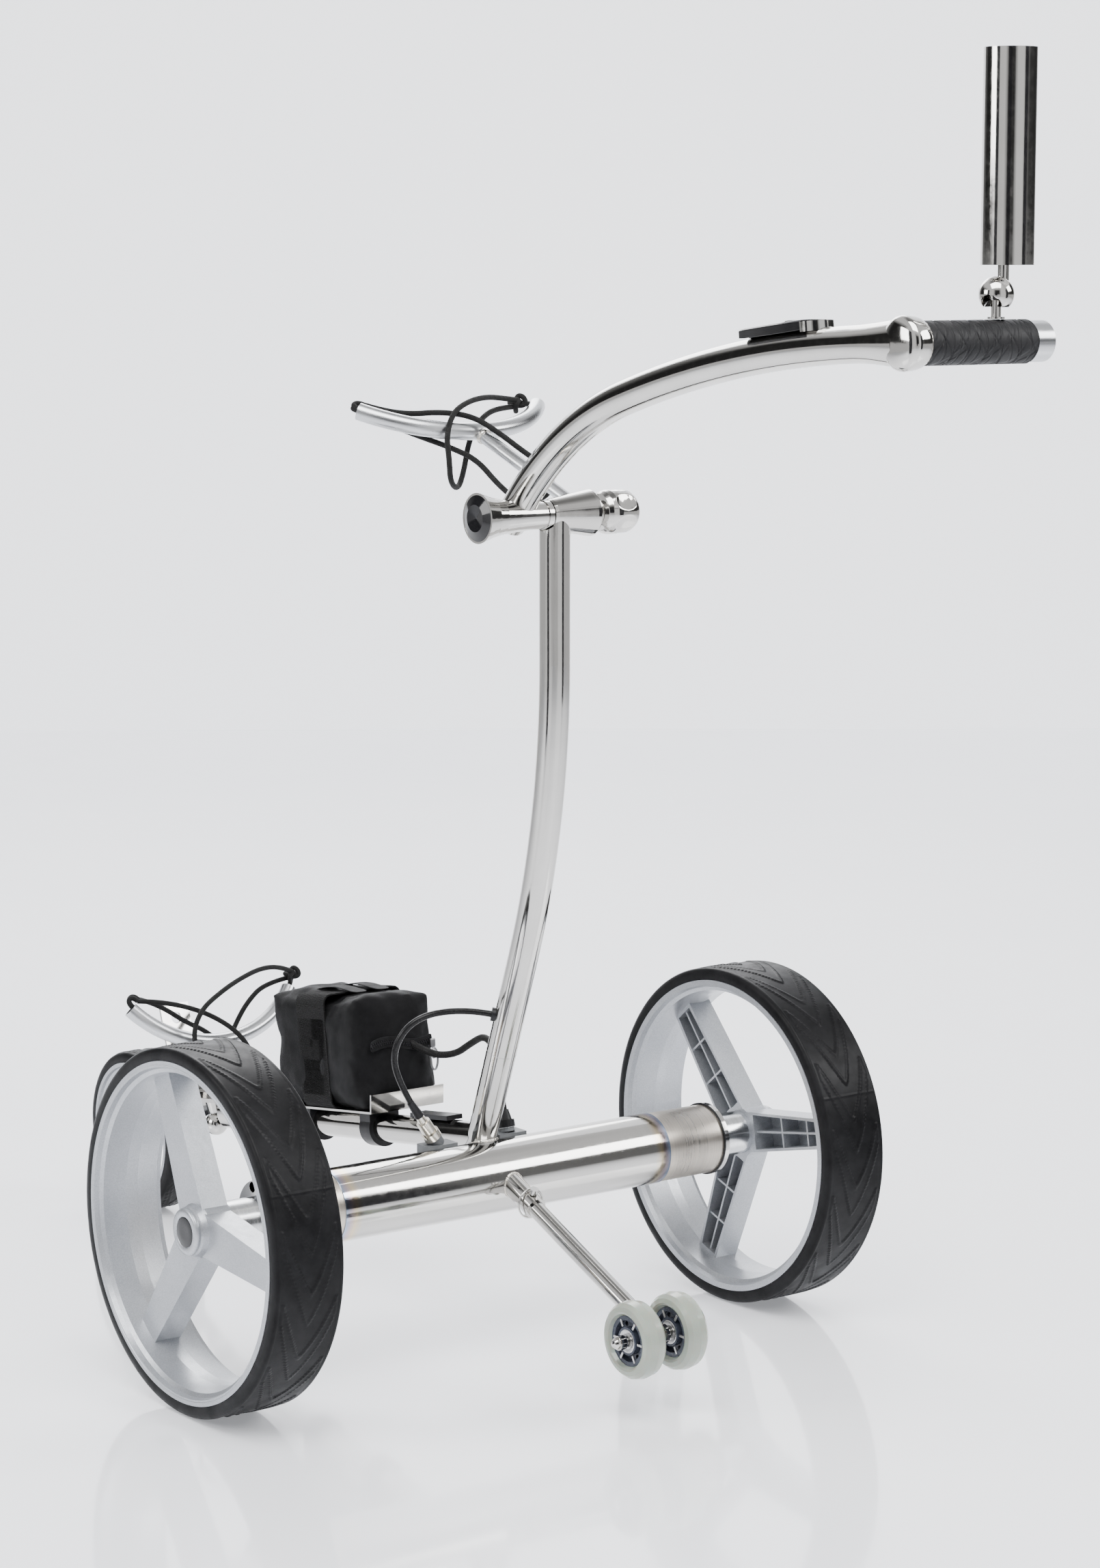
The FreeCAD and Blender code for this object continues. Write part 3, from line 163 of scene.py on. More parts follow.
# ---------------------------------------------------------------- materials
class Paint:
    """A principled material with helpers that add noise, waves and bumps to its sockets."""

    def __init__(self, name):
        self.material = bpy.data.materials.new(name)
        self.material.use_nodes = True
        self.tree = self.material.node_tree
        self.shader = self.tree.nodes["Principled BSDF"]
        self.place = self.add("ShaderNodeTexCoord").outputs["Object"]
        self.bump_from = None

    def add(self, kind, **values):
        made = self.tree.nodes.new(kind)
        for name, value in values.items():
            setattr(made, name, value)
        return made

    def link(self, a, b):
        self.tree.links.new(a, b)

    def set(self, **values):
        for name, value in values.items():
            self.shader.inputs[name.replace("_", " ")].default_value = value
        return self

    def stretched(self, scale):
        mapping = self.add("ShaderNodeMapping")
        mapping.inputs["Scale"].default_value = scale
        self.link(self.place, mapping.inputs["Vector"])
        return mapping.outputs[0]

    def noise(self, scale, detail=4.0, rough=0.55, stretch=(1, 1, 1)):
        made = self.add("ShaderNodeTexNoise")
        made.inputs["Scale"].default_value = scale
        made.inputs["Detail"].default_value = detail
        made.inputs["Roughness"].default_value = rough
        self.link(self.stretched(stretch), made.inputs["Vector"])
        return made.outputs["Fac"]

    def wave(self, scale, direction="X", distort=0.0, profile="SIN"):
        made = self.add("ShaderNodeTexWave", wave_type="BANDS", bands_direction=direction,
                        wave_profile=profile)
        made.inputs["Scale"].default_value = scale
        made.inputs["Distortion"].default_value = distort
        made.inputs["Detail"].default_value = 0
        self.link(self.place, made.inputs["Vector"])
        return made.outputs["Fac"]

    def spread(self, value, low, high, start=0.3, end=0.7):
        made = self.add("ShaderNodeMapRange")
        for index, number in zip((1, 2, 3, 4), (start, end, low, high)):
            made.inputs[index].default_value = number
        self.link(value, made.inputs[0])
        return made.outputs[0]

    def maths(self, way, a, b):
        made = self.add("ShaderNodeMath", operation=way)
        for socket, value in zip(made.inputs, (a, b)):
            if isinstance(value, (int, float)):
                socket.default_value = value
            else:
                self.link(value, socket)
        return made.outputs[0]

    def colours(self, value, one, two, start=0.35, end=0.65):
        ramp = self.add("ShaderNodeValToRGB")
        ramp.color_ramp.elements[0].position = start
        ramp.color_ramp.elements[1].position = end
        ramp.color_ramp.elements[0].color = (*one, 1)
        ramp.color_ramp.elements[1].color = (*two, 1)
        self.link(value, ramp.inputs[0])
        self.link(ramp.outputs[0], self.shader.inputs["Base Color"])
        return self

    def rough(self, value, low, high):
        self.link(self.spread(value, low, high), self.shader.inputs["Roughness"])
        return self

    def bump(self, value, height, strength=1.0):
        made = self.add("ShaderNodeBump")
        made.inputs["Strength"].default_value = strength
        made.inputs["Distance"].default_value = height
        self.link(value, made.inputs["Height"])
        if self.bump_from:
            self.link(self.bump_from, made.inputs["Normal"])
        self.bump_from = made.outputs[0]
        self.link(self.bump_from, self.shader.inputs["Normal"])
        return self


def plain(name, colour, rough):
    """Even paint of the set, with a faint mottle."""
    p = Paint(name)
    p.colours(p.noise(3), tuple(c * 0.99 for c in colour), colour)
    p.set(Roughness=rough)
    return p.material


def wall_glow():
    """Evenly lit white backdrop, a little brighter high up."""
    p = Paint("wall_paint")
    p.colours(p.noise(0.6, 1), (0.92, 0.93, 0.96), (0.95, 0.955, 0.97))
    p.set(Roughness=1.0, Emission_Color=(0.95, 0.965, 1.0, 1), Emission_Strength=1.0)
    return p.material


def floor_paint():
    """White glossy floor with a soft mirror image."""
    p = Paint("floor_paint")
    p.colours(p.noise(2), (0.88, 0.89, 0.93), (0.91, 0.92, 0.95))
    p.rough(p.noise(14), 0.07, 0.11)
    p.set(Coat_Weight=0.25, Coat_Roughness=0.05, Emission_Color=(0.93, 0.95, 1.0, 1), Emission_Strength=0.32)
    return p.material


def polished(name="polished_stainless", tint=(0.54, 0.53, 0.51)):
    """Mirror-polished stainless steel with faint draw lines, haze and fine scratches."""
    p = Paint(name)
    dark = tuple(c * 0.93 for c in tint)
    p.colours(p.noise(26, 5), dark, tint)
    p.rough(p.noise(120, 6, 0.7), 0.045, 0.13)
    p.bump(p.noise(18, 2), 0.00035, 0.35)
    p.bump(p.noise(900, 3, 0.6, (1, 1, 0.15)), 0.00001, 0.25)
    p.set(Metallic=1.0)
    return p.material


def tinted_axle():
    """Polished axle tube with straw and blue heat tint next to the end welds."""
    p = Paint("heat_tinted_stainless")
    split = p.add("ShaderNodeSeparateXYZ")
    p.link(p.place, split.inputs[0])
    wobble = p.maths("MULTIPLY", p.noise(60, 4), 0.006)
    reach = p.maths("ADD", p.maths("ABSOLUTE", split.outputs["X"], 0), wobble)
    ramp = p.add("ShaderNodeValToRGB")
    stops = [(0.0, (0.54, 0.53, 0.51)), (0.3, (0.54, 0.53, 0.51)), (0.55, (0.66, 0.56, 0.4)),
             (0.72, (0.5, 0.42, 0.45)), (0.86, (0.35, 0.42, 0.55)), (1.0, (0.7, 0.68, 0.66))]
    while len(ramp.color_ramp.elements) < len(stops):
        ramp.color_ramp.elements.new(0.5)
    for element, (at, colour) in zip(ramp.color_ramp.elements, stops):
        element.position = at
        element.color = (*colour, 1)
    p.link(p.spread(reach, 0, 1, 0.16, 0.192), ramp.inputs[0])
    p.link(ramp.outputs[0], p.shader.inputs["Base Color"])
    p.rough(p.noise(120, 6, 0.7), 0.05, 0.15)
    p.bump(p.noise(18, 2), 0.0003, 0.3)
    p.set(Metallic=1.0)
    return p.material


def brushed(name, tint, along=(700, 9, 9), low=0.22, high=0.42):
    """Brushed metal: long fine lines in one direction, with soft stains."""
    p = Paint(name)
    lines = p.noise(1, 3, 0.6, along)
    p.colours(lines, tuple(c * 0.86 for c in tint), tint)
    p.rough(p.maths("ADD", p.maths("MULTIPLY", lines, 0.6), p.maths("MULTIPLY", p.noise(30, 4), 0.4)), low, high)
    p.bump(lines, 0.00006, 0.4)
    p.set(Metallic=1.0, Anisotropic=0.5)
    return p.material


def silver_moulding():
    """Silver-painted plastic: fine metal flake, slight orange peel, grime in the grain."""
    p = Paint("silver_moulding")
    flake = p.add("ShaderNodeTexVoronoi")
    flake.inputs["Scale"].default_value = 1500
    p.link(p.place, flake.inputs["Vector"])
    grey = p.add("ShaderNodeRGBToBW")
    p.link(flake.outputs["Color"], grey.inputs[0])
    mixed = p.maths("ADD", p.maths("MULTIPLY", grey.outputs[0], 0.5), p.maths("MULTIPLY", p.noise(16, 5), 0.5))
    p.colours(mixed, (0.33, 0.345, 0.375), (0.47, 0.485, 0.51), 0.25, 0.75)
    p.rough(p.noise(160, 4), 0.3, 0.4)
    p.bump(p.noise(420, 3), 0.00008, 0.5)
    p.set(Metallic=0.6, Coat_Weight=0.25, Coat_Roughness=0.18)
    return p.material


def tyre_rubber():
    """Moulded black rubber, with a faint bloom and a fine grain."""
    p = Paint("tyre_rubber")
    p.colours(p.noise(24, 6, 0.65), (0.0035, 0.0035, 0.004), (0.011, 0.011, 0.012))
    p.rough(p.noise(60, 5), 0.34, 0.5)
    p.bump(p.noise(1400, 2), 0.00008, 0.5)
    p.bump(p.noise(140, 4), 0.00015, 0.35)
    p.set(Specular_IOR_Level=0.1)
    return p.material


def moulded_plastic(name="moulded_black", colour=(0.005, 0.005, 0.006), low=0.3, high=0.44):
    """Fine-textured moulding."""
    p = Paint(name)
    p.colours(p.noise(40, 4), colour, tuple(c * 1.7 + 0.003 for c in colour))
    p.rough(p.noise(90, 5), low, high)
    p.bump(p.noise(1800, 2), 0.00006, 0.6)
    p.set(Specular_IOR_Level=0.25)
    return p.material


def gloss_cap():
    """Polished black acrylic with hairline swirls."""
    p = Paint("gloss_black")
    p.colours(p.noise(30), (0.004, 0.004, 0.005), (0.012, 0.012, 0.013))
    p.rough(p.noise(300, 6, 0.8), 0.04, 0.14)
    p.bump(p.noise(50, 2), 0.0001, 0.2)
    p.set(Specular_IOR_Level=0.35, Coat_Weight=0.12, Coat_Roughness=0.04)
    return p.material


def nylon(name="bag_nylon", pitch=900.0, colour=(0.008, 0.008, 0.009)):
    """Coated plain-weave nylon: crossing threads, sheen, and rubbed, lighter high places."""
    p = Paint(name)
    threads = p.maths("MAXIMUM", p.maths("MULTIPLY", p.wave(pitch, "Z"), 0.9), p.wave(pitch, "DIAGONAL"))
    p.colours(p.noise(20, 6, 0.7), tuple(c * 0.4 for c in colour), colour)
    p.rough(p.noise(60, 4), 0.5, 0.68)
    p.bump(threads, 0.00016, 0.55)
    p.bump(p.noise(70, 6, 0.6), 0.0012, 0.35)
    p.set(Sheen_Weight=0.03, Sheen_Roughness=0.45, Specular_IOR_Level=0.08)
    return p.material


def loop_pile():
    """Fuzzy loop side of touch fastener, in ribbed rows."""
    p = Paint("loop_pile")
    rows = p.wave(210, "Z", 1.2)
    p.colours(p.noise(600, 4), (0.002, 0.002, 0.002), (0.008, 0.008, 0.0085))
    p.bump(p.noise(1500, 5, 0.8), 0.0009, 0.9)
    p.bump(rows, 0.0009, 0.7)
    p.set(Roughness=0.95, Sheen_Weight=0.05, Sheen_Roughness=0.6, Specular_IOR_Level=0.1)
    return p.material


def braid(name="elastic_braid", pitch=620.0):
    """Braided sleeve: crossing diagonal strands."""
    p = Paint(name)
    one, two = p.wave(pitch, "DIAGONAL", 0.4), p.wave(pitch * 0.8, "X", 0.4)
    p.colours(p.maths("MULTIPLY", one, two), (0.003, 0.003, 0.003), (0.015, 0.015, 0.0145), 0.1, 0.7)
    p.bump(p.maths("MAXIMUM", one, two), 0.0003, 0.7)
    p.rough(p.noise(200), 0.6, 0.8)
    p.set(Sheen_Weight=0.03, Specular_IOR_Level=0.2)
    return p.material


def cable_jacket():
    """Glossy rubber cable jacket with small scuffs."""
    p = Paint("cable_jacket")
    p.colours(p.noise(50, 5), (0.004, 0.004, 0.0045), (0.01, 0.01, 0.0105))
    p.rough(p.noise(240, 6, 0.8), 0.18, 0.34)
    p.bump(p.noise(120, 3), 0.0001, 0.3)
    p.set(Specular_IOR_Level=0.18, Coat_Weight=0.03)
    return p.material


def urethane():
    """Cloudy grey-green urethane that lets some light through."""
    p = Paint("cloudy_urethane")
    p.colours(p.noise(22, 2), (0.38, 0.42, 0.36), (0.43, 0.47, 0.41))
    p.rough(p.noise(90, 4), 0.12, 0.24)
    p.bump(p.noise(220, 3), 0.0001, 0.3)
    p.set(Transmission_Weight=0.3, Subsurface_Weight=0.3, Subsurface_Scale=0.01, IOR=1.49)
    return p.material


def grip_rubber():
    """Soft grip with crossing wavy grooves moulded round it."""
    p = Paint("grip_rubber")
    one = p.wave(34, "X", 5.0)
    two = p.wave(17, "DIAGONAL", 3.0)
    groove = p.maths("MULTIPLY", p.spread(one, 0, 1, 0.04, 0.22), p.spread(two, 0, 1, 0.03, 0.16))
    p.colours(p.noise(60, 5), (0.005, 0.005, 0.006), (0.013, 0.013, 0.014))
    p.bump(groove, 0.0011, 0.85)
    p.bump(p.noise(1600, 2), 0.00006, 0.6)
    p.rough(p.noise(90), 0.48, 0.62)
    p.set(Specular_IOR_Level=0.2)
    return p.material


def weld_metal():
    """Weld bead: rippled, slightly straw-coloured steel."""
    p = Paint("weld_metal")
    p.colours(p.noise(300, 4), (0.5, 0.46, 0.4), (0.8, 0.77, 0.72))
    p.bump(p.noise(500, 4), 0.0006, 0.7)
    p.rough(p.noise(200), 0.14, 0.34)
    p.set(Metallic=1.0)
    return p.material


# ---------------------------------------------------------------- mesh helpers
def link_mesh(name, mesh, material, body, smooth=True, bevel=0.0, levels=0, angle=40):
    """Object from mesh data, shaded, materialled and riding on a body."""
    mesh.validate()
    obj = bpy.data.objects.new(name, mesh)
    SCENE.collection.objects.link(obj)
    mesh.materials.clear()
    mesh.materials.append(material)
    for face in mesh.polygons:
        face.use_smooth = smooth
    if smooth:
        mesh.set_sharp_from_angle(angle=math.radians(angle))
    if bevel:
        edge = obj.modifiers.new("edge", "BEVEL")
        edge.width = bevel
        edge.segments = 3
        edge.limit_method = "ANGLE"
        edge.angle_limit = math.radians(35)
        edge.harden_normals = True
    if levels:
        rounder = obj.modifiers.new("round", "SUBSURF")
        rounder.levels = levels
        rounder.render_levels = levels
    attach(obj, body)
    return obj


def grid_mesh(name, rows, close_rows=False, close_columns=True, caps=True):
    """Quad mesh from rows of points, each row a ring or a line."""
    mesh = bpy.data.meshes.new(name)
    count, wide = len(rows), len(rows[0])
    points = [tuple(point) for row in rows for point in row]
    faces = []
    for r in range(count if close_rows else count - 1):
        for c in range(wide if close_columns else wide - 1):
            a, b = r * wide + c, r * wide + (c + 1) % wide
            n = ((r + 1) % count) * wide
            faces.append((a, b, n + (c + 1) % wide, n + c))
    if caps and close_columns and not close_rows:
        faces.append(tuple(range(wide))[::-1])
        faces.append(tuple(range((count - 1) * wide, count * wide)))
    mesh.from_pydata(points, [], faces)
    mesh.update()
    fix = bmesh.new()
    fix.from_mesh(mesh)
    bmesh.ops.recalc_face_normals(fix, faces=fix.faces)
    fix.to_mesh(mesh)
    fix.free()
    return mesh


def lathe(name, outline, centre, material, body, steps=96, axis=EAST, closed=False, **look):
    """Surface turned about an axis through centre, from (along, radius) in millimetres."""
    side = axis.orthogonal().normalized()
    other = axis.cross(side)
    rows = []
    for along, radius in outline:
        base = Vector(centre) + axis * (along / 1000)
        rows.append([base + (side * math.cos(t) + other * math.sin(t)) * (max(radius, 0.02) / 1000)
                     for t in (2 * math.pi * k / steps for k in range(steps))])
    mesh = grid_mesh(name, rows, close_rows=closed)
    return link_mesh(name, mesh, material, body, **look)


def sweep(name, path, radii, material, body, steps=40, squash=None, **look):
    """Round bar along points in metres, with a radius in millimetres at each point."""
    points = [Vector(p) for p in path]
    rows, side = [], None
    for index, point in enumerate(points):
        ahead = (points[min(index + 1, len(points) - 1)] - points[max(index - 1, 0)]).normalized()
        side = (side - ahead * side.dot(ahead)).normalized() if side else ahead.orthogonal().normalized()
        other = ahead.cross(side)
        flat = squash[index] if squash else None
        row = []
        for k in range(steps):
            t = 2 * math.pi * k / steps
            push = (side * math.cos(t) + other * math.sin(t)) * (radii[index] / 1000)
            if flat is not None:
                push.x *= flat
            row.append(point + push)
        rows.append(row)
    return link_mesh(name, grid_mesh(name, rows), material, body, **look)


def soft_line(name, points, radius, material, body, cyclic=False, resolution=14):
    """Smooth curve of round section through control points in metres."""
    data = bpy.data.curves.new(name, "CURVE")
    data.dimensions = "3D"
    data.bevel_depth = radius
    data.bevel_resolution = 5
    data.resolution_u = resolution
    data.use_fill_caps = True
    spline = data.splines.new("NURBS")
    spline.points.add(len(points) - 1)
    for control, point in zip(spline.points, points):
        control.co = (*point, 1)
    spline.use_cyclic_u = cyclic
    spline.order_u = 3
    spline.use_endpoint_u = not cyclic
    data.materials.append(material)
    obj = bpy.data.objects.new(name, data)
    SCENE.collection.objects.link(obj)
    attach(obj, body)
    return obj


def line_length(curve):
    """Length of a curve object's own line, in metres."""
    copy = curve.copy()
    copy.data = curve.data.copy()
    copy.data.bevel_depth = 0
    mesh = bpy.data.meshes.new_from_object(copy)
    total = sum((mesh.vertices[e.vertices[0]].co - mesh.vertices[e.vertices[1]].co).length for e in mesh.edges)
    bpy.data.objects.remove(copy)
    return total


def bead(name, points, body, radius=1.5, cyclic=True):
    """Weld bead: overlapping scales along a seam, from points in metres."""
    count = len(points)
    rows = []
    for index in range(count):
        here = Vector(points[index])
        ahead = (Vector(points[(index + 1) % count]) - Vector(points[index - 1])).normalized()
        side = ahead.orthogonal().normalized()
        other = ahead.cross(side)
        ripple = radius * (0.72 + 0.28 * abs(math.sin(index * 1.05))) + random.uniform(-0.12, 0.12)
        rows.append([here + (side * math.cos(t) + other * math.sin(t)) * (ripple / 1000)
                     for t in (2 * math.pi * k / 10 for k in range(10))])
    mesh = grid_mesh(name, rows, close_rows=cyclic)
    return link_mesh(name, mesh, LOOK["weld"], body, angle=80)


def saddle(centre, axis, radius, pipe_centre, pipe_axis, pipe_radius, outside, steps=110):
    """Seam points where a round bar meets a larger round pipe."""
    side = axis.orthogonal().normalized()
    other = axis.cross(side)
    seam = []
    for k in range(steps):
        t = 2 * math.pi * k / steps
        start = Vector(centre) + (side * math.cos(t) + other * math.sin(t)) * radius
        gap = start - Vector(pipe_centre)
        flat_gap = gap - pipe_axis * gap.dot(pipe_axis)
        flat_way = axis - pipe_axis * axis.dot(pipe_axis)
        a, b = flat_way.length_squared, 2 * flat_gap.dot(flat_way)
        c = flat_gap.length_squared - pipe_radius ** 2
        root = b * b - 4 * a * c
        if root <= 0:
            continue
        seam.append(start + axis * ((-b + outside * math.sqrt(root)) / (2 * a)))
    return seam


# ---------------------------------------------------------------- pieces
def make_cords():
    """Elastic loops with knots and bights, the control cable and the battery cable."""
    elastic, width = LOOK["braid"], 0.0026
    routes = {
        "upper_cord_right": ("mast", [(-76, -63, 882), (-50, -53, 885), (-24, -42, 887), (4, -30, 884),
                             (28, -20, 875), (41, -12, 855), (40, -9, 833), (36, -13, 812),
                             (18, -27, 804), (5, -36, 820), (-2, -38, 848), (-17, -41, 867),
                             (-44, -54, 876), (-76, -66, 876)]),
        "upper_cord_left": ("mast", [(90.5, -71.9, 881.3), (77, -59, 876), (56, -46, 873), (32, -34, 875),
                            (8, -16, 871), (-10, 1, 855), (-22, 16, 841), (-33, 34, 828),
                            (-35, 50, 812), (-19, 54, 798), (-3, 38, 796), (2, 14, 810),
                            (10, -8, 832), (28, -24, 843), (50, -42, 853), (70, -58, 863),
                            (90.5, -74, 876.2)]),
        "lower_cord_right": ("frame", [(-102, -506, 267), (-86, -500, 275), (-57, -494, 279),
                             (-22, -486, 271), (8, -476, 261), (32, -468, 250), (45, -464, 230),
                             (40, -467, 206), (20, -482, 190), (-4, -494, 188), (-18, -498, 204),
                             (-29, -502, 222), (-46, -506, 242), (-70, -510, 258), (-102, -510, 261)]),
        "lower_cord_left": ("frame", [(86.4, -504.9, 258.5), (64, -501, 256), (36, -489, 249),
                            (12, -478, 238), (-8, -466, 222), (-21, -460, 202), (-26, -472, 186),
                            (-26, -492, 184), (-16, -507, 198), (2, -511, 216), (26, -511, 228),
                            (50, -513, 245), (70, -515, 255), (82.1, -511.5, 258.9)])}
    for name, (body, route) in routes.items():
        points = [Vector(p) / 1000 for p in route]
        line = soft_line(name.replace("cord", "elastic"), points, width, elastic, body)
        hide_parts(name)
        if name.endswith("right"):
            make_knot(name + "_knot", (points[0] + points[-1]) / 2, body)
            mouth = MOUTHS[name]
            soft_line(name + "_tail", [mouth[0], mouth[0] + mouth[1] * 0.006,
                                                   (points[0] + points[-1]) / 2], width, elastic, body)
        else:
            mouth, outward = MOUTHS[name]
            for index, end in enumerate((points[0], points[-1])):
                near = mouth + (end - mouth) * 0.25
                soft_line(f"{name}_bight_{index}", [near - outward * 0.004, near + outward * 0.0075,
                                                                end + outward * 0.0075, end], width, elastic, body)
        line_length(line)
    cable = [(69.4, -20, 229.1), (87.6, -20, 255.5), (101, -19, 292), (84, -8, 325), (36.8, 2.6, 329.7),
             (13.8, 17.7, 324.2)]
    points = [Vector(p) / 1000 for p in cable]
    line = soft_line("handle_cable", points, 0.003, LOOK["jacket"], "mast")
    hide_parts("control_cable")
    boot = sweep("handle_cable_boot", [points[0] + (points[1] - points[0]).normalized() * (k * 0.0015 - 0.001) for k in range(13)],
                 [4.4 - 0.1 * k + (0.35 if k % 2 else 0) for k in range(13)], LOOK["moulded"], "mast", angle=70)
    line_length(line)
    lead = [(-9, -157, 267), (-22, -137, 254), (-36, -113, 256), (-38, -88, 272), (-36, -63, 284),
            (-33, -42, 275), (-31, -34.9, 249.3), (-31, -26, 219.6)]
    points = [Vector(p) / 1000 for p in lead]
    line = soft_line("battery_lead", points, 0.0034, LOOK["braid_lead"], "frame")
    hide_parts("battery_cable")
    line_length(line)


def make_knot(name, centre, body):
    """Overhand knot: one closed trefoil of cord."""
    loops = []
    for k in range(96):
        t = 2 * math.pi * k / 96
        flat = Vector((math.sin(t) + 2 * math.sin(2 * t), math.cos(t) - 2 * math.cos(2 * t), -1.4 * math.sin(3 * t)))
        loops.append(centre + Matrix.Rotation(0.8, 3, "Y") @ flat * 0.0026)
    return soft_line(name, loops, 0.0025, LOOK["braid"], body, cyclic=True, resolution=2)


def cradle_mouth(side, back, height, tilt, bend):
    """Mouth of a cradle tube and its outward direction."""
    slant, half = math.radians(tilt), math.radians(51.5)
    towards = Vector((0, math.cos(slant), -math.sin(slant)))
    radial = towards * math.cos(half) + EAST * side * math.sin(half)
    outward = EAST * side * math.cos(half) - towards * math.sin(half)
    return Vector((0, back, height)) + radial * bend, outward


def ridge(turn, across):
    """Height from 0 to 1 of the tread at an angle and a place across: long curved V bands with raised rims."""
    reach = abs(across) / 30
    if reach > 0.95:
        return 0.0
    phase = (turn * 16 / (2 * math.pi) - 1.15 * reach ** 1.2) % 1
    low, high = 0.2 + 0.05 * reach, 0.64 - 0.12 * reach
    rim = min(abs(phase - low), abs(phase - high))
    if 0.9 < reach:
        return 0.85 if low < phase < high else 0.0
    if rim < 0.042:
        return 1.0
    return 0.42 if low < phase < high else 0.0


def make_tyre(name, centre, body):
    """Rear tyre: crowned tread with raised V outlines, square shoulders and beads on the rim."""
    steps = 1080
    tread = [-30 + 60 * k / 44 for k in range(45)]
    left = [(-30.8, 152.9), (-34.3, 153.0), (-34.6, 156), (-34.4, 160), (-33.4, 163), (-31.8, 164.3)]
    right = [(-x, r) for x, r in left[::-1]]
    inner = [(30.8, 150.5), (20, 150.4), (-20, 150.4), (-30.8, 150.5)]
    rows = []
    for along, radius in left + [(x, None) for x in tread] + right + inner:
        row = []
        for k in range(steps):
            t = 2 * math.pi * k / steps
            if radius is None:
                crown = 164.15 + 0.35 * (1 - (along / 30) ** 2)
                out = crown - 0.25 + 0.95 * ridge(t, along)
                if min(abs(t - 0.4), abs(t - 0.4 - 2 * math.pi)) < 0.006:
                    out += 0.35
            else:
                out = radius
            row.append(Vector(centre) + Vector((along, out * math.cos(t), out * math.sin(t))) / 1000)
        rows.append(row)
    mesh = grid_mesh(name, rows, close_rows=True)
    return link_mesh(name, mesh, LOOK["tyre"], body, angle=55)


def make_rear_wheels():
    """Tread, hub badge, ring and screws of both rear wheels."""
    for side, name in ((1, "left"), (-1, "right")):
        centre = Vector((side * 0.306, 0, 0.165))
        out = EAST * side
        body = f"wheel_{name}"
        tyre = make_tyre(f"tread_{name}", centre, body)
        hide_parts(f"tyre_{name}")
        face = centre + out * 0.026
        lathe(f"hub_ring_{name}", [(-3, 21), (-1.2, 21.4), (0.4, 20.6), (1.2, 18.2), (1.3, 14.2), (0.7, 13.6), (-2, 13.5)],
              face, LOOK["silver"], body, axis=out, angle=50)
        lathe(f"hub_badge_{name}", [(-1, 13.3), (0.9, 13.3), (1.1, 12.6), (1.05, 6), (1.0, 0.1)],
              face, LOOK["gloss"], body, axis=out, angle=50)
        groove = centre + out * 0.0345
        lathe(f"lip_line_{name}", [(0, 148.2), (0.5, 148.9), (0, 149.6), (-0.5, 148.9)], groove, LOOK["silver"],
              body, steps=160, axis=out, closed=True)
        screw = centre - out * 0.0145
        for k in range(3):
            turn = Matrix.Rotation(math.radians(60 + 120 * k), 3, "X")
            lathe(f"hub_screw_{name}_{k}", [(0, 3), (1.2, 3), (2.0, 2.2), (2.3, 1.2), (1.2, 1.1), (1.1, 0.1)],
                  screw + turn @ Vector((0, 0, 0.0155)), LOOK["screw"], body, steps=24, axis=-out)


def make_front_tread():
    """Front tyre with the same V outlines, smaller."""
    steps = 420
    tread = [-17 + 34 * k / 24 for k in range(25)]
    left = [(-18.0, 74.6), (-20.4, 74.7), (-20.6, 78), (-20, 82.5), (-18.6, 84.4)]
    right = [(-x, r) for x, r in left[::-1]]
    inner = [(18, 72.8), (-18, 72.8)]
    rows = []
    for along, radius in left + [(x, None) for x in tread] + right + inner:
        row = []
        for k in range(steps):
            t = 2 * math.pi * k / steps
            out = radius or 84.9 + 0.3 * (1 - (along / 17) ** 2) + 0.8 * ridge(t * 0.5, along * 30 / 17)
            row.append(Vector((along, out * math.cos(t), out * math.sin(t))) / 1000 + Vector((0, -0.64, 0.086)))
        rows.append(row)
    tyre = link_mesh("tread_front", grid_mesh("tread_front", rows, close_rows=True), LOOK["tyre"], "front_wheel", angle=55)
    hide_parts("tyre_front")


def bar_path():
    """Centre line of the handlebar, with the length so far, in metres."""
    spot_now, angle = Vector((0.036, 0.0775, 0.7804)), math.radians(48)
    path = [spot_now.copy()]
    for length, turn in ((0.030, 0), (0.326 * math.radians(31.4), -31.4), (1.246 * math.radians(15.4), -15.4), (0.027, 0)):
        count = max(4, int(length / 0.006))
        for _ in range(count):
            angle += math.radians(turn) / count / 2
            spot_now = spot_now + Vector((0, math.cos(angle), math.sin(angle))) * (length / count)
            angle += math.radians(turn) / count / 2
            path.append(spot_now.copy())
    return path


def make_handlebar():
    """Curved bar that flares into a domed cross piece, welded at the hinge barrel."""
    path = bar_path()
    total = len(path)
    radii, squash = [], []
    for index, point in enumerate(path):
        left = (path[-1] - point).length
        grow = max(0.0, 1 - left / 0.062) ** 1.6
        radii.append(15 + 5.8 * grow)
        squash.append(1 - 0.27 * grow)
    keep = [i for i in range(total) if (path[-1] - path[i]).length > 0.006]
    bar = sweep("curved_bar", [path[i] for i in keep], [radii[i] for i in keep], LOOK["steel"], "handle", steps=56,
                squash=[squash[i] for i in keep], angle=60)
    cross = [(29.0, 0.1), (29.0, 18.6), (31, 20.0), (35, 21.0), (41, 21.4), (44, 21.5), (45.6, 21.0), (47.4, 19.4),
             (49.0, 16.6), (50.2, 12.6), (50.9, 8.2), (51.2, 4), (51.3, 0.1)]
    dome = lathe("cross_dome", cross, GRIP, LOOK["steel"], "handle", steps=96, angle=50)
    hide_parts("handlebar")
    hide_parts("handlebar")
    ring = []
    for k in range(90):
        t = 2 * math.pi * k / 90
        ring.append(GRIP + Vector((0.0295, 0.0186 * math.cos(t), 0.0186 * math.sin(t))))
    bead("cross_bead", ring, "handle", 0.6)


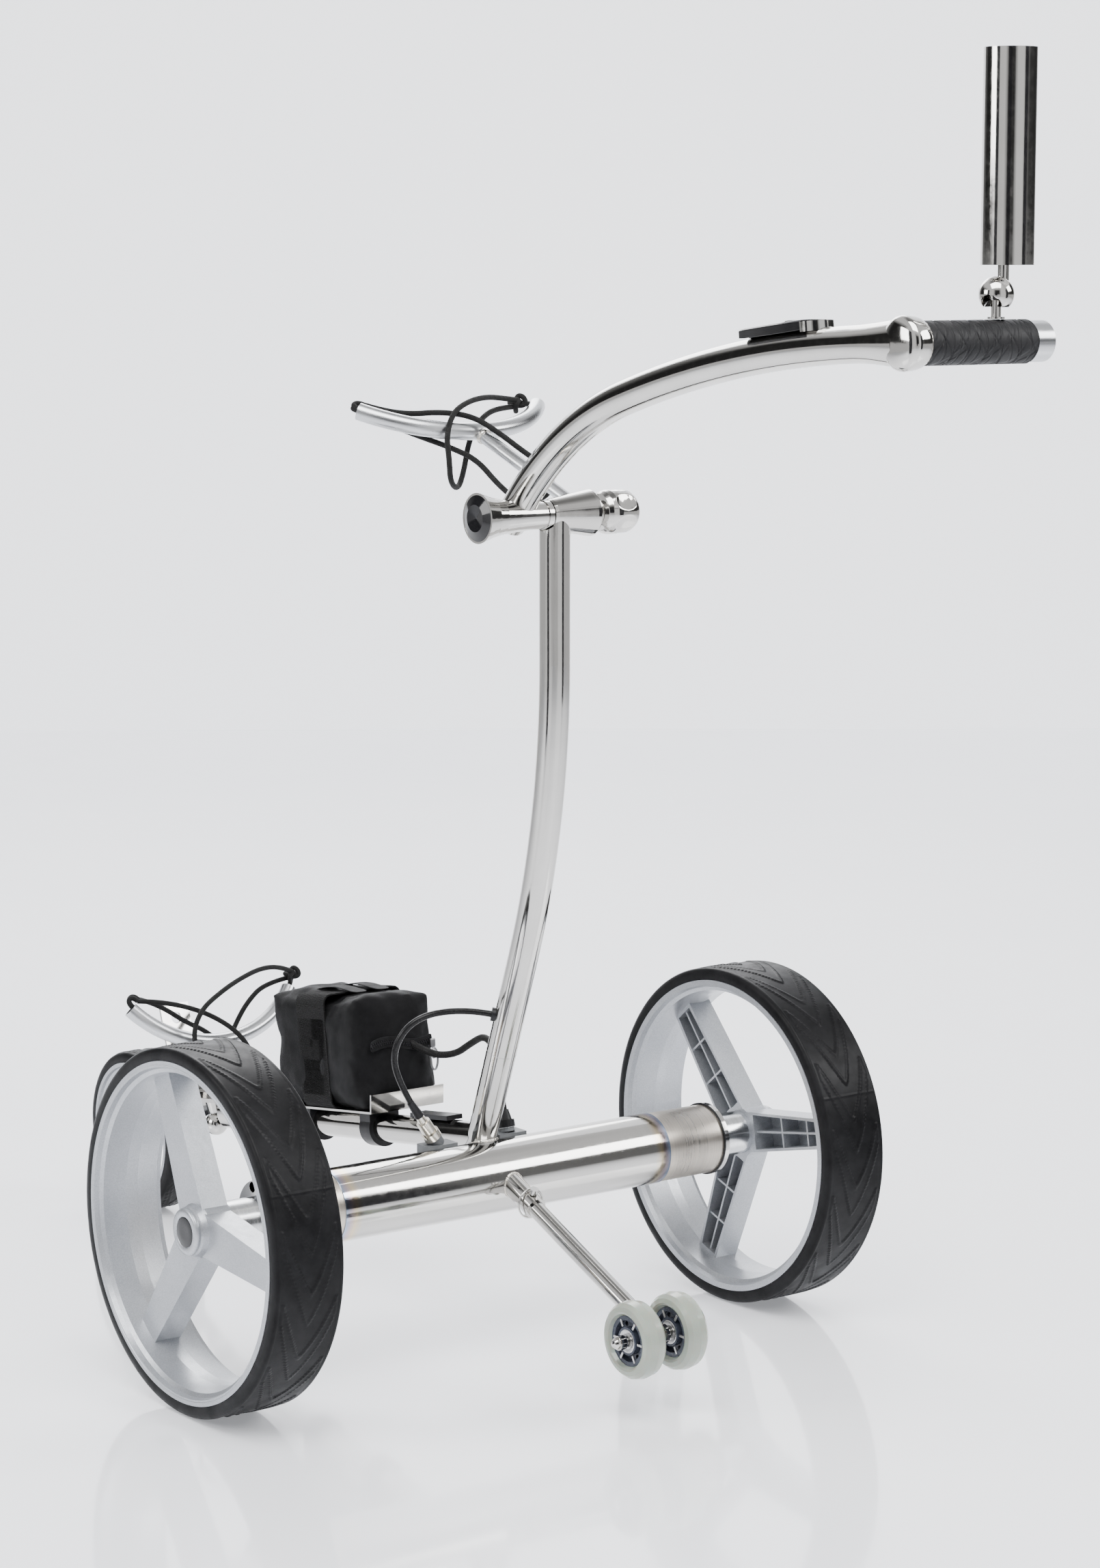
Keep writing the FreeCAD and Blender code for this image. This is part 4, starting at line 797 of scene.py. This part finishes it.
def make_grip():
    """Rubber grip with raised wavy bands that cross round it."""
    steps, rows = 160, []
    count = 150
    for k in range(count + 1):
        along = 30.3 - (30.3 + 84.2) * k / count
        row = []
        for j in range(steps):
            t = 2 * math.pi * j / steps
            u = (30.3 - along) / 114.5
            one = abs(math.sin(math.pi * 6.5 * u + 1.15 * math.sin(2 * t)))
            two = abs(math.sin(math.pi * 6.5 * u - 1.15 * math.sin(2 * t) + 0.9))
            groove = max(0, 1 - one / 0.16) + max(0, 1 - two / 0.16)
            radius = 17.45 - 0.55 * min(1, groove)
            if k in (0, count):
                radius -= 0.8
            row.append(GRIP + Vector((along, radius * math.cos(t), radius * math.sin(t))) / 1000)
        rows.append(row)
    grip = link_mesh("grip_sleeve", grid_mesh("grip_sleeve", rows), LOOK["grip"], "handle", angle=70)
    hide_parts("grip")


def make_knob():
    """Ball-like clamp knob with oval hollows all round, and a fine face."""
    steps, rows = 180, []
    outline = [(-46.2, 9), (-46.2, 12.4), (-46.8, 13.2), (-49, 16.4), (-52.5, 18.9), (-57, 20.3), (-62, 20.6),
               (-68, 20.6), (-73, 20.3), (-78, 19.0), (-82.5, 16.4), (-86, 12.4), (-88, 7.4), (-88.8, 3), (-88.9, 0.1)]
    fine = []
    for (a, r), (b, s) in zip(outline, outline[1:]):
        fine += [(a + (b - a) * k / 6, r + (s - r) * k / 6) for k in range(6)]
    for along, radius in fine + [outline[-1]]:
        row = []
        for j in range(steps):
            t = 2 * math.pi * j / steps
            near = ((t / (math.pi / 3)) % 1 - 0.5) * (math.pi / 3) * 20.6
            inside = 1 - (near / 8.2) ** 2 - ((along + 67.5) / 11.5) ** 2
            dip = 2.6 * max(0.0, inside) ** 0.8
            row.append(PIVOT + Vector((along, (radius - dip) * math.cos(t), (radius - dip) * math.sin(t))) / 1000)
        rows.append(row)
    knob = link_mesh("clamp_knob_ball", grid_mesh("clamp_knob_ball", rows), LOOK["steel"], "clamp_knob", angle=75)
    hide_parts("clamp_knob")


def make_control_box():
    """Thin black switch slab over the bar, with a turned-up nose and a button."""
    slope = Matrix.Rotation(math.radians(6.9), 3, "X")
    mid = Vector((0.036, 0.454, 0.9396))
    rows = []
    sections = [(-39, 15.2, 21.6, 0.80), (-38, 14.6, 22.0, 0.94), (-30, 14.0, 22.2, 1.0), (0, 13.6, 22.2, 1.0),
                (34, 13.6, 22.0, 1.0), (38.4, 13.8, 21.8, 0.97), (39, 14.2, 21.2, 0.9)]
    for along, low, high, wide in sections:
        half, row = 15.6 * wide, []
        for x, z in ((-half, low), (-half, high - 1.6), (-half + 1.6, high), (0, high + 0.35), (half - 1.6, high),
                     (half, high - 1.6), (half, low), (half * 0.5, low), (-half * 0.5, low)):
            row.append(mid + slope @ Vector((x, along, z)) / 1000)
        rows.append(row)
    box = link_mesh("switch_slab", grid_mesh("switch_slab", rows), LOOK["gloss"], "handle", bevel=0.0004, angle=30)
    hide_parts("control_box")
    top = mid + slope @ Vector((0, 0.010, 0.0219))
    up = slope @ Vector((0, 0, 1))
    lathe("button_ring", [(0, 5.3), (0.5, 5.4), (0.9, 6.2), (0.8, 7.0), (0, 7.2)], top, LOOK["steel"], "handle", steps=48, axis=up)
    cap = lathe("button_cap", [(-3, 4.8), (1.4, 4.8), (2.0, 4.3), (2.15, 2.4), (1.9, 0.1)], top, LOOK["moulded"], "power_button", steps=48, axis=up)
    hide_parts("power_button")


def make_bag():
    """Padded battery pouch by cloth simulation, then strap, loops and zip."""
    half, low, high, rear, front = 42.6, 24.0, 131.6, -7.0, 153.0
    mesh = bpy.data.meshes.new("pouch")
    build = bmesh.new()
    bmesh.ops.create_cube(build, size=1)
    bmesh.ops.subdivide_edges(build, edges=build.edges, cuts=11, use_grid_fill=True)
    for vertex in build.verts:
        x, y, z = vertex.co
        taper = 1 - 0.03 * (z + 0.5)
        sag = 3.2 * math.exp(-((y - 0.18) / 0.16) ** 2) * (z > 0.4) + 2.0 * math.sin(5.3 * y + 2 * x) * (z > 0.45)
        place = spot(x * 2 * half * taper, rear + (0.5 - y) * (front - rear), low + (z + 0.5) * (high - low) - sag)
        vertex.co = place
    build.to_mesh(mesh)
    build.free()
    pouch = bpy.data.objects.new("pouch", mesh)
    SCENE.collection.objects.link(pouch)
    remesh = pouch.modifiers.new("remesh", "REMESH")
    remesh.mode = "VOXEL"
    remesh.voxel_size = 0.005
    apply_all(pouch)
    start = [v.co.copy() for v in pouch.data.vertices]
    cloth = pouch.modifiers.new("cloth", "CLOTH")
    cloth.settings.quality = 5
    cloth.settings.mass = 0.25
    cloth.settings.tension_stiffness = 12
    cloth.settings.compression_stiffness = 12
    cloth.settings.bending_stiffness = 0.25
    cloth.settings.use_pressure = True
    cloth.settings.uniform_pressure_force = 4
    cloth.settings.effector_weights.gravity = 0
    for number in range(1, 21):
        SCENE.frame_set(number)
    apply_all(pouch)
    SCENE.frame_set(1)
    cap = 0.0034
    centre = spot(0, (rear + front) / 2, (low + high) / 2)
    for vertex, before in zip(pouch.data.vertices, start):
        move = vertex.co - before
        if move.length > cap:
            move = move.normalized() * cap
        place = before + move
        u, v, x = (place - spot(0, 0, 0)).dot(AHEAD) * 1000, (place - spot(0, 0, 0)).dot(ABOVE) * 1000, place.x * 1000
        strength = 0.0016
        crease = noise.noise(Vector((x * 0.035, u * 0.035, v * 0.02)) * 1.6)
        fine = noise.noise(Vector((x * 0.11 + 7, u * 0.09, v * 0.05)))
        band = math.exp(-((u - 78) / 22) ** 2)
        gather = math.exp(-((u + 4) / 16) ** 2) * math.exp(-((v - 84) / 20) ** 2)
        ruffle = gather * math.sin(x * 0.95 + 2.2 * math.sin(v * 0.22))
        push = (crease * 1.8 + fine * 0.8 + ruffle * 1.1) * strength - band * 0.0009
        outward = (place - centre)
        outward -= AHEAD * outward.dot(AHEAD) * 0.6
        vertex.co = place + outward.normalized() * push
    smooth = pouch.modifiers.new("smooth", "SMOOTH")
    smooth.factor = 0.4
    smooth.iterations = 1
    subdivide = pouch.modifiers.new("round", "SUBSURF")
    subdivide.levels = 1
    subdivide.render_levels = 1
    pouch.data.materials.clear()
    pouch.data.materials.append(LOOK["nylon"])
    for face in pouch.data.polygons:
        face.use_smooth = True
    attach(pouch, "frame")
    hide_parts("battery_bag", "battery_pack")
    make_bag_details()


def make_welds():
    """Weld beads where the bars meet the axle tube, and the collar on the upper cradle's stem."""
    foot = saddle(MAST_FOOT, MAST_UP, 0.014, AXLE, EAST, 0.034, 1)
    bead("mast_bead", foot, "frame", 1.7)
    slope = math.radians(23)
    arm_out = Vector((0, math.cos(slope), -math.sin(slope)))
    bead("anti_tip_bead", saddle(Vector((0, 0.022, 0.1681)), arm_out, 0.0104, AXLE, EAST, 0.034, 1), "frame", 1.3)
    stem = Vector((-0.018, 0.097, 0.798)) - Vector((0, -0.0223, 0.8569))
    lathe("stem_collar", [(8, 6.0), (8.6, 7.2), (10.2, 7.6), (11.8, 7.2), (12.4, 6.0)],
          (0, -0.0223, 0.8569), LOOK["weld"], "mast", steps=48, axis=stem.normalized())
    joint = MAST_FOOT + MAST_UP * 0.1296
    lathe("mast_seam", [(-0.5, 13.9), (-0.25, 14.12), (0.0, 13.8), (0.25, 14.12), (0.5, 13.9)],
          joint, LOOK["dark_metal"], "frame", steps=64, axis=MAST_UP)


def make_bearings():
    """Shield, inner ring and spokes' print on both faces of each skate wheel."""
    for side, name in ((1, "left"), (-1, "right")):
        for out in (1, -1):
            face = Vector((side * 0.0235 + out * 0.0091, 0.2476, 0.0723))
            lathe(f"shield_{name}_{out + 1}", [(0, 4.6), (0.35, 4.7), (0.4, 6.4), (0.2, 6.8), (0.35, 7.2), (0.35, 10.2), (0, 10.6)],
                  face, LOOK["screw"], f"skate_{name}", steps=48, axis=EAST * out)
            bars = bmesh.new()
            for k in range(6):
                turn = Matrix.Rotation(math.radians(60 * k + 30), 4, "X")
                shape = Matrix.Translation(face - EAST * out * 0.0012) @ turn @ Matrix.Diagonal((0.0012, 0.0022, 0.0068, 1))
                bmesh.ops.create_cube(bars, size=1, matrix=shape @ Matrix.Translation((0, 0, 2.5)))
            mesh = bpy.data.meshes.new(f"core_bars_{name}_{out + 1}")
            bars.to_mesh(mesh)
            bars.free()
            link_mesh(f"core_bars_{name}_{out + 1}", mesh, LOOK["screw"], f"skate_{name}", bevel=0.0003)


def apply_all(obj):
    """Turn an object's modifiers into its own mesh."""
    held = bpy.context.evaluated_depsgraph_get()
    held.update()
    mesh = bpy.data.meshes.new_from_object(obj.evaluated_get(held))
    obj.modifiers.clear()
    obj.data = mesh


def ribbon(name, path, across, wide, thick, material, body, **look):
    """Flat webbing of a width and thickness in millimetres, along points in metres."""
    points = [Vector(p) for p in path]
    rows = []
    for index, point in enumerate(points):
        ahead = (points[min(index + 1, len(points) - 1)] - points[max(index - 1, 0)]).normalized()
        normal = ahead.cross(across).normalized()
        row = []
        for a, b in ((-1, -1), (-0.5, -1), (0, -1), (0.5, -1), (1, -1), (1, 1), (0.5, 1), (0, 1), (-0.5, 1), (-1, 1)):
            row.append(point + across * (a * wide / 2000) + normal * (b * thick / 2000))
        rows.append(row)
    return link_mesh(name, grid_mesh(name, rows), material, body, **look)


def make_bag_details():
    """Fastener strap, webbing, and zip with its pull, of the pouch."""
    def ring(u, inset=0.0):
        corner, points = 9.0, []
        half, low, high = 43.2 - inset, 24.2 + inset, 131.6 - inset
        for cx, cy, first in ((half - corner, high - corner, 0), (-half + corner, high - corner, 90),
                              (-half + corner, low + corner, 180), (half - corner, low + corner, 270)):
            for k in range(5):
                t = math.radians(first + 22.5 * k)
                points.append(spot(cx + corner * math.cos(t), u, cy + corner * math.sin(t)))
        return points
    around = ring(76, -1.6)
    strap = around + around[:1]
    band = ribbon("fastener_strap", strap, AHEAD, 50, 1.6, LOOK["pile"], "frame", angle=50)
    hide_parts("hook_strap")
    over = [spot(44.6, 76, v) for v in (36, 50, 70, 90, 110)]
    ribbon("strap_flap", over, AHEAD, 44, 2.0, LOOK["pile"], "frame", angle=50)
    for index, side in enumerate((-14, 12)):
        path = [spot(side, u, v) for u, v in ((118, 133.5), (106, 134.5), (92, 137), (76, 138.6), (58, 137.5), (44, 135), (30, 133.5))]
        ribbon(f"top_webbing_{index}", path, EAST, 16, 1.3, LOOK["binding"], "frame", levels=2, angle=80)
    path = [spot(x, -11.6, 84 + 3 * math.sin(x * 0.09)) for x in range(-36, 37, 4)]
    ribbon("zip_tape", path, ABOVE, 11, 1.0, LOOK["binding"], "frame", levels=1, angle=80)
    teeth = bmesh.new()
    for k in range(60):
        x = -35 + 70 * k / 59
        place = spot(x, -12.5, 84 + 3 * math.sin(x * 0.09) + (0.9 if k % 2 else -0.9))
        made = bmesh.ops.create_cube(teeth, size=0.0011, matrix=Matrix.Translation(place))
        for vertex in made["verts"]:
            vertex.co.z += (vertex.co.z - place.z) * 0.9
    mesh = bpy.data.meshes.new("zip_teeth")
    teeth.to_mesh(mesh)
    teeth.free()
    link_mesh("zip_teeth", mesh, LOOK["moulded"], "frame", smooth=False)
    pull = spot(-34, -14.2, 80)
    down = Vector((0.12, 0.25, -1)).normalized()
    ribbon("zip_slider", [pull + down * (k * 0.0024) for k in range(-2, 3)], EAST, 6, 3.4, LOOK["dark_metal"], "frame", levels=2, angle=60)
    loop = []
    for k in range(28):
        t = 2 * math.pi * k / 28
        loop.append(pull + Vector((0, 0.002, -0.001)) + down * (0.014 - 0.0105 * math.cos(t)) + EAST * 0.0042 * math.sin(t))
    soft_line("zip_pull", loop, 0.0011, LOOK["dark_metal"], "frame", cyclic=True, resolution=3)
    ribbon("zip_pull_tab", [pull + Vector((0, 0.0022, 0)) + down * (0.006 + 0.003 * k) for k in range(4)], EAST, 5.4, 1.2,
           LOOK["dark_metal"], "frame", levels=2, angle=60)


# ---------------------------------------------------------------- build
def paint_nodes():
    """Finish of every node of the model that shows as it is."""
    finishes = {
        "axle": ["axle_tube"],
        "steel": ["frame_stubs", "front_tube", "fork", "front_axle", "clamp_bolt", "toe_plate", "tray",
                  "anti_tip_socket", "anti_tip_arm", "skate_axle", "lynch_pin", "mast_tube", "mast_head",
                  "pivot_bolt", "handle_barrel", "box_end", "umbrella_ball", "umbrella_post", "umbrella_tube",
                  "shaft_bearings", "end_flanges"],
        "satin": ["lower_cradle", "upper_cradle", "speed_knob"],
        "sleeve": ["motor_sleeves", "motors"],
        "shaft": ["drive_shaft_left", "drive_shaft_right"],
        "silver": ["rim_left", "rim_right", "rim_front"],
        "core": ["skate_core_left", "skate_core_right"],
        "urethane": ["skate_tyre_left", "skate_tyre_right"],
        "moulded": ["flange_seals", "tray_saddles", "battery_plug", "cable_grommet"],
        "grey": ["socket_blocks"],
        "gloss": ["barrel_cap"],
        "nickel": ["cable_plug"]}
    for finish, names in finishes.items():
        for name in names:
            node = NODES[name]
            node.data.materials.clear()
            node.data.materials.append(LOOK[finish])


make_studio()
LOOK = {
    "steel": polished(), "axle": tinted_axle(), "weld": weld_metal(),
    "sleeve": brushed("brushed_sleeve", (0.66, 0.6, 0.52)),
    "satin": brushed("satin_aluminium", (0.54, 0.55, 0.565), (14, 14, 14), 0.22, 0.32),
    "shaft": brushed("turned_aluminium", (0.7, 0.71, 0.72), (900, 12, 12), 0.16, 0.3),
    "nickel": brushed("nickel_plug", (0.72, 0.68, 0.6), (14, 14, 500), 0.14, 0.3),
    "dark_metal": brushed("gun_metal", (0.3, 0.3, 0.31), (80, 80, 80), 0.25, 0.4),
    "screw": brushed("zinc_screw", (0.6, 0.6, 0.6), (90, 90, 90), 0.2, 0.36),
    "silver": silver_moulding(), "tyre": tyre_rubber(), "moulded": moulded_plastic(),
    "grey": moulded_plastic("moulded_grey", (0.09, 0.095, 0.1)), "gloss": gloss_cap(),
    "core": moulded_plastic("wheel_core", (0.035, 0.04, 0.055), 0.2, 0.34), "nylon": nylon(),
    "binding": nylon("edge_binding", 620.0, (0.014, 0.014, 0.015)), "pile": loop_pile(), "braid": braid(),
    "braid_lead": braid("lead_sleeve", 380.0), "jacket": cable_jacket(), "urethane": urethane(),
    "grip": grip_rubber()}
MOUTHS = {
    "upper_cord_right": cradle_mouth(-1, -0.1391, 0.9072, 23.3, 0.1272),
    "upper_cord_left": cradle_mouth(1, -0.1391, 0.9072, 23.3, 0.1272),
    "lower_cord_right": cradle_mouth(-1, -0.5402, 0.3176, 61.5, 0.1219),
    "lower_cord_left": cradle_mouth(1, -0.5402, 0.3176, 61.5, 0.1219)}
paint_nodes()
make_rear_wheels()
make_front_tread()
make_handlebar()
make_grip()
make_knob()
make_control_box()
make_bag()
make_cords()
make_welds()
make_bearings()
